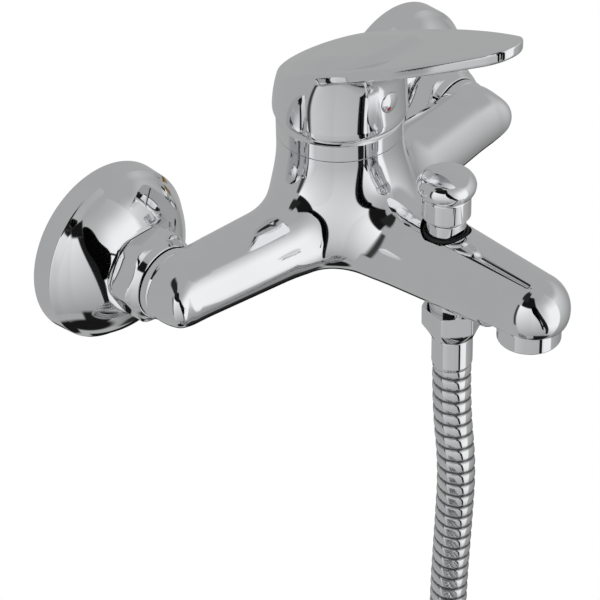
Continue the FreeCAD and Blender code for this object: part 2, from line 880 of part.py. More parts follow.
# Lever: a zinc casting, a bell that covers the dome under an oval plate rising to the front.
def plate_outline(name):
    """The plan of the plate: two long side arcs, and the arcs that close the back and the tip."""
    side_r = s.plate_side_r
    inset = side_r - s.plate_half
    widest = -s.plate_widest_y
    sketch = doc.addObject("Sketcher::SketchObject", name)
    ends = []
    for middle in (-s.plate_back_y, -s.plate_tip_y):
        span = math.hypot(inset.value, middle.value - widest.value)
        ends.append((middle, side_r.value - span, math.atan2(middle.value - widest.value, inset.value)))
    up = FreeCAD.Vector(0, 0, 1)
    (back, back_r, back_turn), (tip, tip_r, tip_turn) = ends
    right = Part.Circle(FreeCAD.Vector(-inset.value, widest.value, 0), up, side_r.value)
    left = Part.Circle(FreeCAD.Vector(inset.value, widest.value, 0), up, side_r.value)
    back_circle = Part.Circle(FreeCAD.Vector(0, back.value, 0), up, back_r)
    tip_circle = Part.Circle(FreeCAD.Vector(0, tip.value, 0), up, tip_r)
    sketch.addGeometry(Part.ArcOfCircle(right, tip_turn, back_turn), False)
    sketch.addGeometry(Part.ArcOfCircle(back_circle, back_turn, math.pi - back_turn), False)
    sketch.addGeometry(Part.ArcOfCircle(left, math.pi - back_turn, math.pi - tip_turn), False)
    sketch.addGeometry(Part.ArcOfCircle(tip_circle, math.pi - tip_turn, 2 * math.pi + tip_turn), False)
    for edge in range(4):
        sketch.addConstraint(Sketcher.Constraint("Tangent", edge, 2, (edge + 1) % 4, 1))
    for edge, x in ((0, -inset), (2, inset)):
        for kind, size in (("Radius", side_r), ("DistanceX", x), ("DistanceY", widest)):
            where = (edge,) if kind == "Radius" else (edge, 3)
            index = sketch.addConstraint(Sketcher.Constraint(kind, *where, size.value))
            bind(sketch, "Constraints[{}]".format(index), size)
    for edge, size in ((1, back), (3, tip)):
        index = sketch.addConstraint(Sketcher.Constraint("DistanceY", edge, 3, size.value))
        bind(sketch, "Constraints[{}]".format(index), size)
    return sketch


def tilted_block(name, low, thick):
    """A slab along the plate's top face: low is the depth of its underside below that face."""
    width = s.barrel_r * 4
    length = s.plate_tip_y * 2
    slab = doc.addObject("Part::Box", name)
    bind(slab, "Length", width)
    bind(slab, "Width", length)
    bind(slab, "Height", thick)
    slab.Placement = FreeCAD.Placement(FreeCAD.Vector(), FreeCAD.Rotation(FreeCAD.Vector(-1, 0, 0), 1))
    bind(slab, "Placement.Rotation.Angle", s.plate_tilt)
    tilt = math.radians(s.plate_tilt.value)
    cosine = Size(math.cos(tilt), "cos({} * 1 deg)".format(s.plate_tilt.text))
    sine = Size(math.sin(tilt), "sin({} * 1 deg)".format(s.plate_tilt.text))
    half = length / 2
    bind(slab, "Placement.Base.x", -(width / 2))
    bind(slab, "Placement.Base.y", -s.reach - half * cosine - low * sine)
    bind(slab, "Placement.Base.z", s.plate_axis_z + half * sine - low * cosine)
    return slab


def lever_bell():
    """The bell: a rim that flares, then leans forward as it rises to the plate."""
    levels = (
        ("rim", s.bell_rim_z, s.barrel_r + s.bell_rim_over, as_size(0)),
        ("bulge", s.bell_bulge_z, s.barrel_r + s.bell_bulge_over, as_size(0)),
        ("waist", s.bell_waist_z, s.barrel_r + s.bell_waist_over, s.bell_waist_shift),
        ("neck", s.bell_neck_z, s.barrel_r - s.bell_neck_under, s.bell_neck_shift),
        ("top", s.bell_top_z, s.barrel_r - s.bell_top_under, s.bell_top_shift),
    )
    rings = []
    for name, z, radius, shift in levels:
        ring = doc.addObject("Part::Circle", "bell_" + name)
        bind(ring, "Radius", radius)
        rings.append(place(ring, (0, -(s.reach + shift), z), "up"))
    return loft("bell_skin", rings)


def lever_handle():
    plan = doc.addObject("Part::Extrusion", "plate_prism")
    plan.Base = plate_outline("plate_plan")
    plan.DirMode = "Custom"
    plan.Dir = FreeCAD.Vector(0, 0, 1)
    plan.Solid = True
    bind(plan, "LengthFwd", s.plate_tip_y)
    plate = common("plate_solid", [plan, tilted_block("plate_slab", s.plate_thick, s.plate_thick)])
    bell_room = tilted_block("bell_room", s.plate_tip_y, s.plate_tip_y)
    body = fuse("lever_solid", [common("bell_solid", [lever_bell(), bell_room]), plate])
    cavity = ball("lever_cavity", dome_r() + s.cavity_gap, (0, -s.reach, s.pivot_z))
    socket_half = s.stem_square_half + s.socket_fit / 2
    socket = block("stem_socket", socket_half, socket_half, s.pivot_z, s.stem_top + s.socket_fit, -s.reach)
    plug_seat = s.plug_face - s.plug_depth
    screw_hole = cylinder("screw_hole", s.screw_r, plug_seat - s.reach, (0, -s.reach, s.screw_z), "front")
    plug_hole = cylinder("plug_hole", s.plug_r, s.plug_depth * 2, (0, -plug_seat, s.screw_z), "front")
    keep(cut("lever_handle_part", body, [cavity, socket, screw_hole, plug_hole]), "lever_handle")


def lever_set_screw():
    start = s.reach + s.stem_square_half
    keep(cylinder("lever_set_screw_part", s.screw_r, s.screw_length, (0, -start, s.screw_z), "front"),
         "lever_set_screw")


def index_plug():
    rim = s.plug_depth + s.plug_proud - s.plug_crown
    keep(turned("index_plug_body", [
        (0, 0),
        (s.plug_r, 0),
        (s.plug_r, rim, crown(s.plug_r, s.plug_crown)),
        (0, s.plug_depth + s.plug_proud),
    ], (0, -(s.plug_face - s.plug_depth), s.screw_z), "front"), "index_plug")


# Diverter: a pull-up knob on a spindle that lifts a rubber valve off the shower seat.
def diverter_axis():
    return (0, -s.diverter_y, 0)


def seal_bottom():
    return -s.chamber_floor + s.rest_gap


def collar_bottom():
    return seal_bottom() + s.seal_thick


def diverter_bonnet():
    bore_r = s.spindle_r + s.running_fit
    keep(turned("diverter_bonnet_body", [
        (s.spring_room_r, s.bonnet_bottom),
        (s.chamber_r, s.bonnet_bottom),
        (s.chamber_r, s.spot_z),
        (s.bonnet_r, s.spot_z),
        (s.bonnet_r, s.bonnet_land),
        (s.bonnet_neck_r, s.bonnet_land),
        (s.bonnet_neck_r, s.bonnet_top),
        (bore_r, s.bonnet_top),
        (bore_r, s.spring_top),
        (s.spring_room_r, s.spring_top),
    ], diverter_axis()), "diverter_bonnet")


def diverter_o_ring():
    inner_r = s.bonnet_r + s.running_fit
    outer_r = inner_r + s.o_ring_wire
    low = s.spot_z
    keep(turned("diverter_o_ring_body", [
        (inner_r, low + s.edge_break),
        (inner_r + s.edge_break, low),
        (outer_r - s.edge_break, low),
        (outer_r, low + s.edge_break),
        (outer_r, low + s.o_ring_wire - s.edge_break, s.o_ring_wire / 2),
        (outer_r - s.edge_break, low + s.o_ring_wire),
        (inner_r + s.edge_break, low + s.o_ring_wire),
        (inner_r, low + s.o_ring_wire - s.edge_break),
    ], diverter_axis()), "diverter_o_ring")


def diverter_spindle():
    tip_bottom = seal_bottom()
    collar_top = collar_bottom() + s.spindle_collar
    keep(turned("diverter_spindle_body", [
        (0, tip_bottom),
        (s.spindle_tip_r, tip_bottom),
        (s.spindle_tip_r, collar_bottom()),
        (s.spindle_collar_r, collar_bottom()),
        (s.spindle_collar_r, collar_top),
        (s.spindle_r, collar_top),
        (s.spindle_r, s.knob_socket),
        (0, s.knob_socket),
    ], diverter_axis()), "diverter_spindle")


def diverter_seal():
    keep(turned("diverter_seal_body", [
        (s.spindle_tip_r, seal_bottom()),
        (s.seal_r, seal_bottom()),
        (s.seal_r, collar_bottom()),
        (s.spindle_tip_r, collar_bottom()),
    ], diverter_axis()), "diverter_seal")


def diverter_knob():
    inside_r = s.bonnet_neck_r + s.rest_gap
    keep(turned("diverter_knob_body", [
        (inside_r, s.knob_bottom),
        (s.knob_rim_r, s.knob_bottom),
        (s.skirt_r, s.knob_bottom + (s.skirt_r - s.knob_rim_r)),
        (s.skirt_r, s.cap_bottom),
        (s.cap_r - s.edge_break * 2, s.cap_bottom + s.edge_break * 2, s.cap_r / 2),
        (s.cap_r, s.cap_widest, s.cap_r / 2),
        (s.cap_shoulder_r, s.cap_shoulder, crown(s.cap_shoulder_r, s.knob_top - s.cap_shoulder)),
        (0, s.knob_top),
        (0, s.knob_socket),
        (s.spindle_r, s.knob_socket),
        (s.spindle_r, s.knob_ceiling),
        (inside_r, s.knob_ceiling),
    ], diverter_axis()), "diverter_knob")


# Aerator: a chromed brass ring screwed into the spout's neck, with a plastic insert and a washer.
def aerator_axis():
    return (0, -s.aerator_y, -s.neck_z)


def aerator_housing():
    keep(turned("aerator_housing_body", [
        (s.aerator_bore_r, -s.aerator_thread),
        (s.aerator_bore_r, s.aerator_ring - s.edge_break),
        (s.aerator_bore_r + s.edge_break, s.aerator_ring),
        (s.aerator_r - s.edge_break, s.aerator_ring),
        (s.aerator_r, s.aerator_ring - s.edge_break),
        (s.aerator_r, 0),
        (s.aerator_thread_r, 0),
        (s.aerator_thread_r, -s.aerator_thread),
    ][::-1], aerator_axis(), "down"), "aerator_housing")


def aerator_insert():
    radius = s.aerator_bore_r - s.insert_fit
    bottom = s.neck_z + s.aerator_ring - s.insert_recess
    plate = cylinder("insert_plate", radius, s.insert_depth, (0, -s.aerator_y, -bottom))
    jets = [cylinder("jet_0", s.jet_r, s.insert_depth, (0, -s.aerator_y, -bottom))]
    for ring in (1, 2):
        for index in range(6 * ring):
            angle = 2 * math.pi * index / (6 * ring)
            x = s.jet_ring * (ring * math.cos(angle))
            y = s.jet_ring * (ring * math.sin(angle)) - s.aerator_y
            jets.append(cylinder("jet_{}_{}".format(ring, index), s.jet_r, s.insert_depth, (x, y, -bottom)))
    keep(cut("aerator_insert_part", plate, jets), "aerator_insert")


def aerator_washer():
    keep(turned("aerator_washer_body", [
        (s.aerator_bore_r - 1, s.aerator_thread),
        (s.aerator_thread_r, s.aerator_thread),
        (s.aerator_thread_r, s.aerator_thread + s.aerator_washer),
        (s.aerator_bore_r - 1, s.aerator_thread + s.aerator_washer),
    ], aerator_axis()), "aerator_washer")


# Shower outlet: a nipple in the underside of the spout, and the hose nut that screws onto it.
def outlet_axis():
    return (0, -s.outlet_y, 0)


def outlet_nipple():
    keep(turned("outlet_nipple_body", [
        (s.nipple_bore_r, -s.nipple_end),
        (s.nipple_r, -s.nipple_end),
        (s.nipple_r, -s.outlet_face),
        (s.nipple_root_r, -s.outlet_face),
        (s.nipple_root_r, -s.nipple_root_top),
        (s.nipple_bore_r, -s.nipple_root_top),
    ], outlet_axis()), "outlet_nipple")


def washer_bottom():
    return -(s.nipple_end + s.hose_washer)


def flange_bottom():
    return washer_bottom() - s.hose_flange


def hose_nut():
    corner_r = s.hose_nut_flats / root(as_size(3))
    bore_r = s.nipple_r + s.thread_fit
    envelope = turned("hose_nut_turned", [
        (s.hose_neck_r + s.thread_fit, -s.hose_nut_bottom),
        (s.hose_nut_face_r, -s.hose_nut_bottom),
        (corner_r, -s.hose_nut_bottom + s.hose_nut_chamfer),
        (corner_r, -s.hose_nut_top - s.edge_break),
        (corner_r - s.edge_break, -s.hose_nut_top),
        (bore_r, -s.hose_nut_top),
        (bore_r, flange_bottom()),
        (s.hose_neck_r + s.thread_fit, flange_bottom()),
    ], outlet_axis())
    flats = hexagon("hose_nut_flats", s.hose_nut_flats, s.hose_nut_bottom,
                    (0, -s.outlet_y, -s.hose_nut_bottom), "up")
    flats.Placement = FreeCAD.Placement(flats.Placement.Base, FreeCAD.Rotation(FreeCAD.Vector(0, 0, 1), 1))
    bind(flats, "Placement.Rotation.Angle", s.hose_nut_turn + 90)
    keep(common("hose_nut_part", [envelope, flats]), "hose_nut")


def hose_washer():
    keep(turned("hose_washer_body", [
        (s.nipple_bore_r, washer_bottom()),
        (s.hose_flange_r, washer_bottom()),
        (s.hose_flange_r, -s.nipple_end),
        (s.nipple_bore_r, -s.nipple_end),
    ], outlet_axis()), "hose_washer")


def hose_ferrule():
    keep(turned("hose_ferrule_body", [
        (s.hose_bore_r, -s.ferrule_end),
        (s.ferrule_end_r, -s.ferrule_end),
        (s.ferrule_r, -s.ferrule_end + s.ferrule_taper),
        (s.ferrule_r, -s.ferrule_top),
        (s.hose_neck_r, -s.ferrule_top),
        (s.hose_neck_r, flange_bottom()),
        (s.hose_flange_r, flange_bottom()),
        (s.hose_flange_r, washer_bottom()),
        (s.hose_bore_r, washer_bottom()),
    ], outlet_axis()), "hose_ferrule")


# Shower hose: a strip-wound metal hose, ribbed where it hangs free, then its coil.
def bent_path(points):
    """Straight runs joined by tangent arcs, as large as the shorter run allows."""
    vectors = [FreeCAD.Vector(*point) for point in points]
    edges = []
    start = vectors[0]
    for before, corner, after in zip(vectors, vectors[1:], vectors[2:]):
        back = (before - corner).normalize()
        ahead = (after - corner).normalize()
        turn = math.pi - back.getAngle(ahead)
        reach = 0.45 * min((before - corner).Length, (after - corner).Length)
        radius = reach / math.tan(turn / 2)
        print("hose bend radius", round(radius, 1))
        first = corner + back * reach
        last = corner + ahead * reach
        middle_way = (back + ahead).normalize()
        middle = corner + middle_way * (math.hypot(radius, reach) - radius)
        edges.append(Part.makeLine(start, first))
        edges.append(Part.Arc(first, middle, last).toShape())
        start = last
    edges.append(Part.makeLine(start, vectors[-1]))
    return Part.Wire(edges)


def hose_rings(path, radii):
    """Circles round the path at (distance along it, radius), with the X axis held steady."""
    rings = []
    edges = path.OrderedEdges
    lengths = [edge.Length for edge in edges]
    for distance, radius in radii:
        left = min(distance, sum(lengths) - 1e-6)
        for edge, length in zip(edges, lengths):
            if left <= length:
                break
            left -= length
        parameter = edge.getParameterByLength(left)
        centre = edge.valueAt(parameter)
        way = edge.tangentAt(parameter)
        side = FreeCAD.Vector(1, 0, 0)
        turn = FreeCAD.Rotation(side, way.cross(side), way, "ZXY")
        ring = Part.Wire(Part.makeCircle(radius))
        ring.Placement = FreeCAD.Placement(centre, turn)
        rings.append(ring)
    return rings


def shower_hose():
    route = [(0, -y, -z) for y, z in HOSE_ROUTE]
    path = bent_path(route)
    pitch = s.rib_pitch.value
    count = int((path.Length - 2 * s.hose_r.value) / pitch)
    margin = (path.Length - count * pitch) / 2
    slope = s.rib_slope.value
    land = s.rib_land.value
    low_r = s.hose_r.value - s.hose_groove.value
    radii = [(0, s.hose_r.value), (margin - slope, s.hose_r.value)]
    for index in range(count):
        start = margin + index * pitch
        radii.append((start, low_r))
        radii.append((start + pitch - land - 2 * slope, low_r))
        radii.append((start + pitch - land - slope, s.hose_r.value))
        radii.append((start + pitch - slope, s.hose_r.value))
    radii.append((path.Length, s.hose_r.value))
    outside = Part.makeLoft(hose_rings(path, radii), True, True)
    bore = [(distance, s.hose_bore_r.value) for distance, radius in radii]
    inside = Part.makeLoft(hose_rings(path, bore), True, True)
    tube = doc.addObject("Part::Feature", "shower_hose_part")
    tube.Shape = outside.cut(inside)
    keep(tube, "shower_hose")


def biarc(start, start_way, end, end_way):
    """Two arcs that leave the start and reach the end along the given ways."""
    chord = end - start
    ways = start_way + end_way
    square = 2 * (1 - start_way.dot(end_way))
    pull = chord.dot(ways)
    if square < 1e-9:
        reach = chord.dot(chord) / (4 * chord.dot(end_way))
    else:
        reach = (-pull + math.sqrt(pull * pull + square * chord.dot(chord))) / square
    knee_one = start + start_way * reach
    knee_two = end - end_way * reach
    meet = (knee_one + knee_two) * 0.5
    arcs = []
    for first, knee, last in ((start, knee_one, meet), (meet, knee_two, end)):
        middle_way = ((first - knee).normalize() + (last - knee).normalize()).normalize()
        half = (last - first).Length / 2
        reach_in = math.sqrt((first - knee).Length ** 2 - half * half)
        radius = half * (first - knee).Length / reach_in
        middle = knee + middle_way * (math.hypot(radius, (first - knee).Length) - radius)
        arcs.append(Part.Arc(first, middle, last).toShape())
    return arcs


def least_gap(points, wire_r, skip):
    """The least distance between parts of the tube that are more than skip apart along it."""
    least = 1e9
    for index, point in enumerate(points):
        for other in points[index + skip:]:
            least = min(least, point.distanceToPoint(other))
    return least - 2 * wire_r


def pipe_along(edges, wire_r):
    path = Part.Wire(edges)
    way = edges[0].tangentAt(edges[0].FirstParameter)
    ring = Part.Wire(Part.makeCircle(wire_r, edges[0].valueAt(edges[0].FirstParameter), way))
    shell = Part.BRepOffsetAPI.MakePipeShell(path)
    shell.add(ring)
    shell.build()
    shell.makeSolid()
    return shell.shape()


def hose_coil_point(turns):
    """A point of the coil and its way, at a number of turns from where the hose enters it."""
    angle = 2 * math.pi * turns
    radius = s.coil_r.value
    x = -radius + radius * math.cos(angle)
    y = HOSE_ROUTE[-1][0] + s.coil_pitch.value * turns
    z = s.coil_z.value + radius * math.sin(angle)
    slope = s.coil_pitch.value / (2 * math.pi * radius)
    way = FreeCAD.Vector(-math.sin(angle), -slope, -math.cos(angle)).normalize()
    return FreeCAD.Vector(x, -y, -z), way


def shower_hose_coil():
    down = FreeCAD.Vector(0, 0, -1)
    start = FreeCAD.Vector(0, -HOSE_ROUTE[-1][0], -HOSE_ROUTE[-1][1])
    enter, way = hose_coil_point(0)
    edges = [Part.makeLine(start, enter)]
    steps = int(round(s.coil_turns.value * 4))
    place_now, way_now = enter, down
    for step in range(1, steps + 1):
        place_next, way_next = hose_coil_point(step / 4)
        if step == steps:
            way_next = down
        edges += biarc(place_now, way_now, place_next, way_next)
        place_now, way_now = place_next, way_next
    edges.append(Part.makeLine(place_now, place_now + down * s.hose_tail.value))
    path = Part.Wire(edges)
    points = path.discretize(Distance=4.0)
    gap = least_gap(points, s.hose_r.value, int(math.pi * s.coil_r.value / 4))
    coil = doc.addObject("Part::Feature", "shower_hose_coil_part")
    coil.Shape = pipe_along(edges, s.hose_r.value)
    keep(coil, "shower_hose_coil")
    section = math.pi * s.hose_r.value ** 2
    print("coil length", round(path.Length, 1), "least gap to itself", round(gap, 2),
          "volume over section times length", round(coil.Shape.Volume / (section * path.Length), 4))


def diverter_spring():
    low = (collar_bottom() + s.spindle_collar).value + s.spring_wire.value / 2
    high = s.spring_top.value - s.spring_wire.value / 2
    turns = s.spring_turns.value
    radius = s.spring_r.value
    rise = (high - low) / turns
    slope = rise / (2 * math.pi * radius)
    edges = []
    steps = int(round(turns * 4))
    last = None
    points = []
    for step in range(steps + 1):
        angle = math.pi / 2 * step
        spot = FreeCAD.Vector(radius * math.cos(angle), radius * math.sin(angle) - s.diverter_y.value,
                              low + rise * step / 4)
        way = FreeCAD.Vector(-math.sin(angle), math.cos(angle), slope).normalize()
        if last is not None:
            edges += biarc(last[0], last[1], spot, way)
        last = (spot, way)
    spring = doc.addObject("Part::Feature", "diverter_spring_part")
    spring.Shape = pipe_along(edges, s.spring_wire.value / 2)
    points = Part.Wire(edges).discretize(Distance=0.8)
    gap = least_gap(points, s.spring_wire.value / 2, int(math.pi * radius / 0.8))
    print("spring least gap to itself", round(gap, 2))
    keep(spring, "diverter_spring")


# Tie: a rubber band round the strands of the coil where the hose enters it.
def tie_loop(name, grow):
    radius = s.hose_r + grow
    y = Size(-HOSE_ROUTE[-1][0], repr(-HOSE_ROUTE[-1][0]))
    far = y - s.coil_pitch * s.coil_turns
    low = -(s.coil_z + s.tie_height / 2)
    near_end = cylinder(name + "_near", radius, s.tie_height, (0, y, low))
    far_end = cylinder(name + "_far", radius, s.tie_height, (0, far, low))
    middle = block(name + "_middle", radius, (y - far) / 2, low, low + s.tie_height, (y + far) / 2)
    return fuse(name, [near_end, far_end, middle])


def hose_tie():
    outer = tie_loop("tie_outer", s.tie_gap + s.tie_wall)
    inner = tie_loop("tie_inner", s.tie_gap)
    keep(cut("hose_tie_part", outer, [inner]), "hose_tie")


# Far end of the hose: a ferrule with a flange, and the conical nut that turns on it.
def end_axis():
    y = Size(-HOSE_ROUTE[-1][0], repr(-HOSE_ROUTE[-1][0])) - s.coil_pitch * s.coil_turns
    return (0, y, -(s.coil_z + s.hose_tail))


def end_flange_top():
    return s.end_ferrule - s.end_flange


def hose_end_ferrule():
    keep(turned("hose_end_ferrule_body", [
        (s.hose_bore_r, 0),
        (s.ferrule_r, 0),
        (s.ferrule_r, end_flange_top()),
        (s.end_flange_r, end_flange_top()),
        (s.end_flange_r, s.end_ferrule),
        (s.hose_bore_r, s.end_ferrule),
    ], end_axis(), "down"), "hose_end_ferrule")


def hose_end_washer():
    keep(turned("hose_end_washer_body", [
        (s.hose_bore_r, s.end_ferrule),
        (s.end_flange_r, s.end_ferrule),
        (s.end_flange_r, s.end_ferrule + s.end_washer),
        (s.hose_bore_r, s.end_ferrule + s.end_washer),
    ], end_axis(), "down"), "hose_end_washer")


def hose_end_nut():
    bore_r = s.ferrule_r + s.end_nut_fit
    shoulder = end_flange_top() - s.running_fit * 2
    thread_top = s.end_ferrule + s.end_washer + s.end_thread_gap
    mouth = thread_top + s.end_thread
    back = mouth - s.end_nut_cone * 2 - s.edge_break
    keep(turned("hose_end_nut_body", [
        (bore_r, back),
        (s.end_nut_back_r, back),
        (s.end_nut_r, back + s.end_nut_cone),
        (s.end_nut_r, mouth - s.edge_break),
        (s.end_nut_r - s.edge_break, mouth),
        (s.end_thread_r, mouth),
        (s.end_thread_r, thread_top),
        (s.end_relief_r, thread_top),
        (s.end_relief_r, shoulder),
        (bore_r, shoulder),
    ], end_axis(), "down"), "hose_end_nut")


for side, sign in sides():
    wall_flange(side, sign)
    offset_union(side, sign)
    union_nut(side, sign)
    union_washer(side, sign)
    inlet_tail(side, sign)
body_casting()
for make_piece in (
    cartridge_base, port_seals, fixed_disc, moving_disc, stem_carrier, stem_pin, cartridge_stem,
    cartridge_housing, cartridge_nut, dome_ring, lever_handle, lever_set_screw, index_plug,
    diverter_bonnet, diverter_o_ring, diverter_spindle, diverter_seal, diverter_spring, diverter_knob,
    aerator_housing, aerator_insert, aerator_washer, outlet_nipple, hose_nut, hose_washer,
    hose_ferrule, shower_hose, shower_hose_coil, hose_tie, hose_end_ferrule, hose_end_washer,
    hose_end_nut,
):
    make_piece()


# Export
doc.recompute()
os.makedirs("parts", exist_ok=True)
for item in doc.Objects:
    if "Invalid" in item.State or "Error" in item.State:
        raise RuntimeError("failed object: " + item.Name)
for node in NODES:
    if node.Shape.isNull() or not node.Shape.isValid():
        raise RuntimeError("bad shape: " + node.Label)
for node in NODES:
    node.Shape.exportStep("parts/" + node.Label + ".step")
    print(node.Label, len(node.Shape.Solids), round(node.Shape.Volume, 1))
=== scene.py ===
import math

import bmesh
import bpy
import numpy as np
from mathutils import Matrix, Vector


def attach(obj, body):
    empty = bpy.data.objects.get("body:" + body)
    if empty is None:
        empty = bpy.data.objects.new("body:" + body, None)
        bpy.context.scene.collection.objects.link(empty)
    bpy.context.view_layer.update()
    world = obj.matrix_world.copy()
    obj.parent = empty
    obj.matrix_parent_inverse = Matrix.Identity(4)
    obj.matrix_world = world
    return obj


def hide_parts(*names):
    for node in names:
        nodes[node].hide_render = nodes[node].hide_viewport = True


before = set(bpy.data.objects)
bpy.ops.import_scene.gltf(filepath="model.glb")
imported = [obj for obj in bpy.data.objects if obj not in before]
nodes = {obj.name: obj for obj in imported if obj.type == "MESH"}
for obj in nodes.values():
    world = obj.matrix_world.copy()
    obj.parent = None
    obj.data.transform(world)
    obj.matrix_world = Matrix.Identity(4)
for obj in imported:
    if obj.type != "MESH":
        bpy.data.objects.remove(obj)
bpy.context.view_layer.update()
MM = 0.001

# Camera
# A long lens from the left and above, rolled by little more than a degree: the tap is seen from
# its left front corner, high enough to look down on the lever and the arms.
azimuth, elevation, roll = (math.radians(angle) for angle in (-45.04, 35.9, -1.43))
distance, focal_px, frame_px, film_mm = 0.93635, 2646.35, 600, 36
aim, aim_px = Vector((0, -0.060, 0)), (373.94, 221.82)
back = Vector((math.sin(azimuth) * math.cos(elevation), -math.cos(azimuth) * math.cos(elevation),
               math.sin(elevation)))
level = Vector((math.cos(azimuth), math.sin(azimuth), 0))
rise = back.cross(level)
right = math.cos(roll) * level + math.sin(roll) * rise
up = math.cos(roll) * rise - math.sin(roll) * level
eye = (aim + back * distance - right * ((aim_px[0] - frame_px / 2) * distance / focal_px)
       + up * ((aim_px[1] - frame_px / 2) * distance / focal_px))
camera = bpy.data.objects.new("camera", bpy.data.cameras.new("camera"))
bpy.context.scene.collection.objects.link(camera)
camera.matrix_world = Matrix.Translation(eye) @ Matrix((right, up, back)).transposed().to_4x4()
camera.data.sensor_width = film_mm
camera.data.lens = film_mm * focal_px / frame_px
camera.data.clip_start = 0.05
bpy.context.scene.camera = camera
bpy.context.scene.view_settings.view_transform = "Standard"


# Studio
# The tap hangs before white paper between two tall soft boxes, one at its left and one in front;
# the dark room shows in the gap between them, round the camera, and the walls behind are grey.
# Polished chrome shows only its surroundings, so the room is drawn as directions round the tap.
def linear(code):
    """An sRGB hex colour as linear red, green, blue and alpha."""
    parts = [int(code[index:index + 2], 16) / 255 for index in (1, 3, 5)]
    return [p / 12.92 if p <= 0.04045 else ((p + 0.055) / 1.055) ** 2.4 for p in parts] + [1.0]


def add_node(tree, kind, inputs=(), **settings):
    """Adds a node with its settings; an input is a value or another node's output."""
    node = tree.nodes.new(kind)
    for name, value in settings.items():
        setattr(node, name, value)
    for key, value in dict(inputs).items():
        if isinstance(value, bpy.types.NodeSocket):
            tree.links.new(value, node.inputs[key])
        else:
            node.inputs[key].default_value = value
    return node


def calc(tree, operation, first, second=0.0, third=0.0):
    """The answer of a math node."""
    inputs = {0: first, 1: second, 2: third}
    return add_node(tree, "ShaderNodeMath", inputs, operation=operation).outputs[0]


world = bpy.data.worlds.new("studio")
bpy.context.scene.world = world
world.use_nodes = True
room = world.node_tree
room.nodes.clear()
direction = add_node(room, "ShaderNodeTexCoord").outputs["Generated"]
parts = add_node(room, "ShaderNodeSeparateXYZ", {0: direction}).outputs
heading = calc(room, "ARCTAN2", parts[1], parts[0])
height = calc(room, "ARCSINE", parts[2])
chrome_shine = 0.85


def ramp(value, low, high, first, last, kind="LINEAR"):
    inputs = {0: value, 1: low, 2: high, 3: first, 4: last}
    return add_node(room, "ShaderNodeMapRange", inputs, interpolation_type=kind).outputs[0]


def edge(value, place, width, first=0.0, last=1.0):
    """Fades from the first to the last over a width that is centred on the place."""
    return ramp(value, place - width / 2, place + width / 2, first, last, "SMOOTHSTEP")


def card(behind, left, right, low, high, tones, soft=(2, 3)):
    """A card over what is behind it. Its left and right headings are given at its lowest and at
    its highest angle, all in degrees. The tones are how bright it looks in the chrome, from 0 to
    1, at its lower left, lower right, upper left and upper right; soft is how wide its sides and
    its ends fade."""
    middle = math.radians(sum(left + right) / 4)
    low, high, side, end = (math.radians(angle) for angle in (low, high, *soft))
    turn = calc(room, "WRAP", calc(room, "SUBTRACT", heading, middle), math.pi, -math.pi)
    left, right = (ramp(height, low, high, *(math.radians(angle) - middle for angle in pair))
                   for pair in (left, right))
    from_left, from_right = calc(room, "SUBTRACT", turn, left), calc(room, "SUBTRACT", right, turn)
    cover = calc(room, "MULTIPLY", edge(from_left, 0, side), edge(from_right, 0, side))
    cover = calc(room, "MULTIPLY", cover, edge(height, low, end))
    cover = calc(room, "MULTIPLY", cover, edge(height, high, end, 1.0, 0.0))
    across = calc(room, "DIVIDE", from_left, calc(room, "SUBTRACT", right, left))
    lights = [((tone + 0.055) / 1.055) ** 2.4 / chrome_shine for tone in tones]
    below, above = ramp(across, 0.0, 1.0, *lights[:2]), ramp(across, 0.0, 1.0, *lights[2:])
    share = ramp(height, low, high, 0.0, 1.0)
    shade = calc(room, "MULTIPLY_ADD", calc(room, "SUBTRACT", above, below), share, below)
    return calc(room, "MULTIPLY_ADD", calc(room, "SUBTRACT", shade, behind), cover, behind)


# The walls, and the cards in front of them from the farthest to the nearest
light = add_node(room, "ShaderNodeValue").outputs[0]
light.default_value = 0.42
# The front soft box, its bright middle, and the wall that fades away at its right
light = card(light, (296, 266), (310, 306), -62, -26, (0.60, 0.66, 0.84, 0.84))
light = card(light, (266, 216), (306, 300), -32, 62, (0.86, 0.84, 0.60, 0.66))
light = card(light, (264, 258), (314, 312), -48, 30, (0.92, 0.93, 0.92, 0.94), (30, 40))
light = card(light, (306, 302), (372, 372), -70, 30, (0.52, 0.40, 0.84, 0.66), (6, 20))
# The left soft box, brighter towards the wall
light = card(light, (208, 208), (270, 224), -64, 34, (0.58, 0.56, 0.90, 0.86), (6, 4))
light = card(light, (169, 169), (214, 212), -64, 34, (0.61, 0.58, 0.96, 0.86), (3, 3))
# The unlit room between and over the boxes
light = card(light, (268, 219), (278, 232), -56, 34, (0.10,) * 4, (1.5, 6))
light = card(light, (172, 168), (230, 222), 32, 66, (0.08,) * 4, (4, 4))
light = card(light, (160, 160), (167, 167), -30, 30, (0.22,) * 4, (4, 4))
light = card(light, (158, 140), (190, 190), 48, 78, (0.14,) * 4, (8, 8))
# The floor under the tap, dark as well
light = card(light, (222, 222), (302, 300), -92, -61, (0.10,) * 4, (8, 6))
light = card(light, (350, 350), (382, 382), -68, -55, (0.15,) * 4, (6, 5))
light = card(light, (-30, -30), (370, 370), -92, -75, (0.09,) * 4, (2, 6))
light = card(light, (16, 16), (64, 64), -60, -37, (0.08,) * 4, (8, 4))
paper = add_node(room, "ShaderNodeLightPath").outputs["Is Camera Ray"]
shown = add_node(room, "ShaderNodeMix", {"Factor": paper, 6: light, 7: (1, 1, 1, 1)},
                 data_type="RGBA")
background = add_node(room, "ShaderNodeBackground", {0: shown.outputs[2], 1: 1.0})
add_node(room, "ShaderNodeOutputWorld", {0: background.outputs[0]})

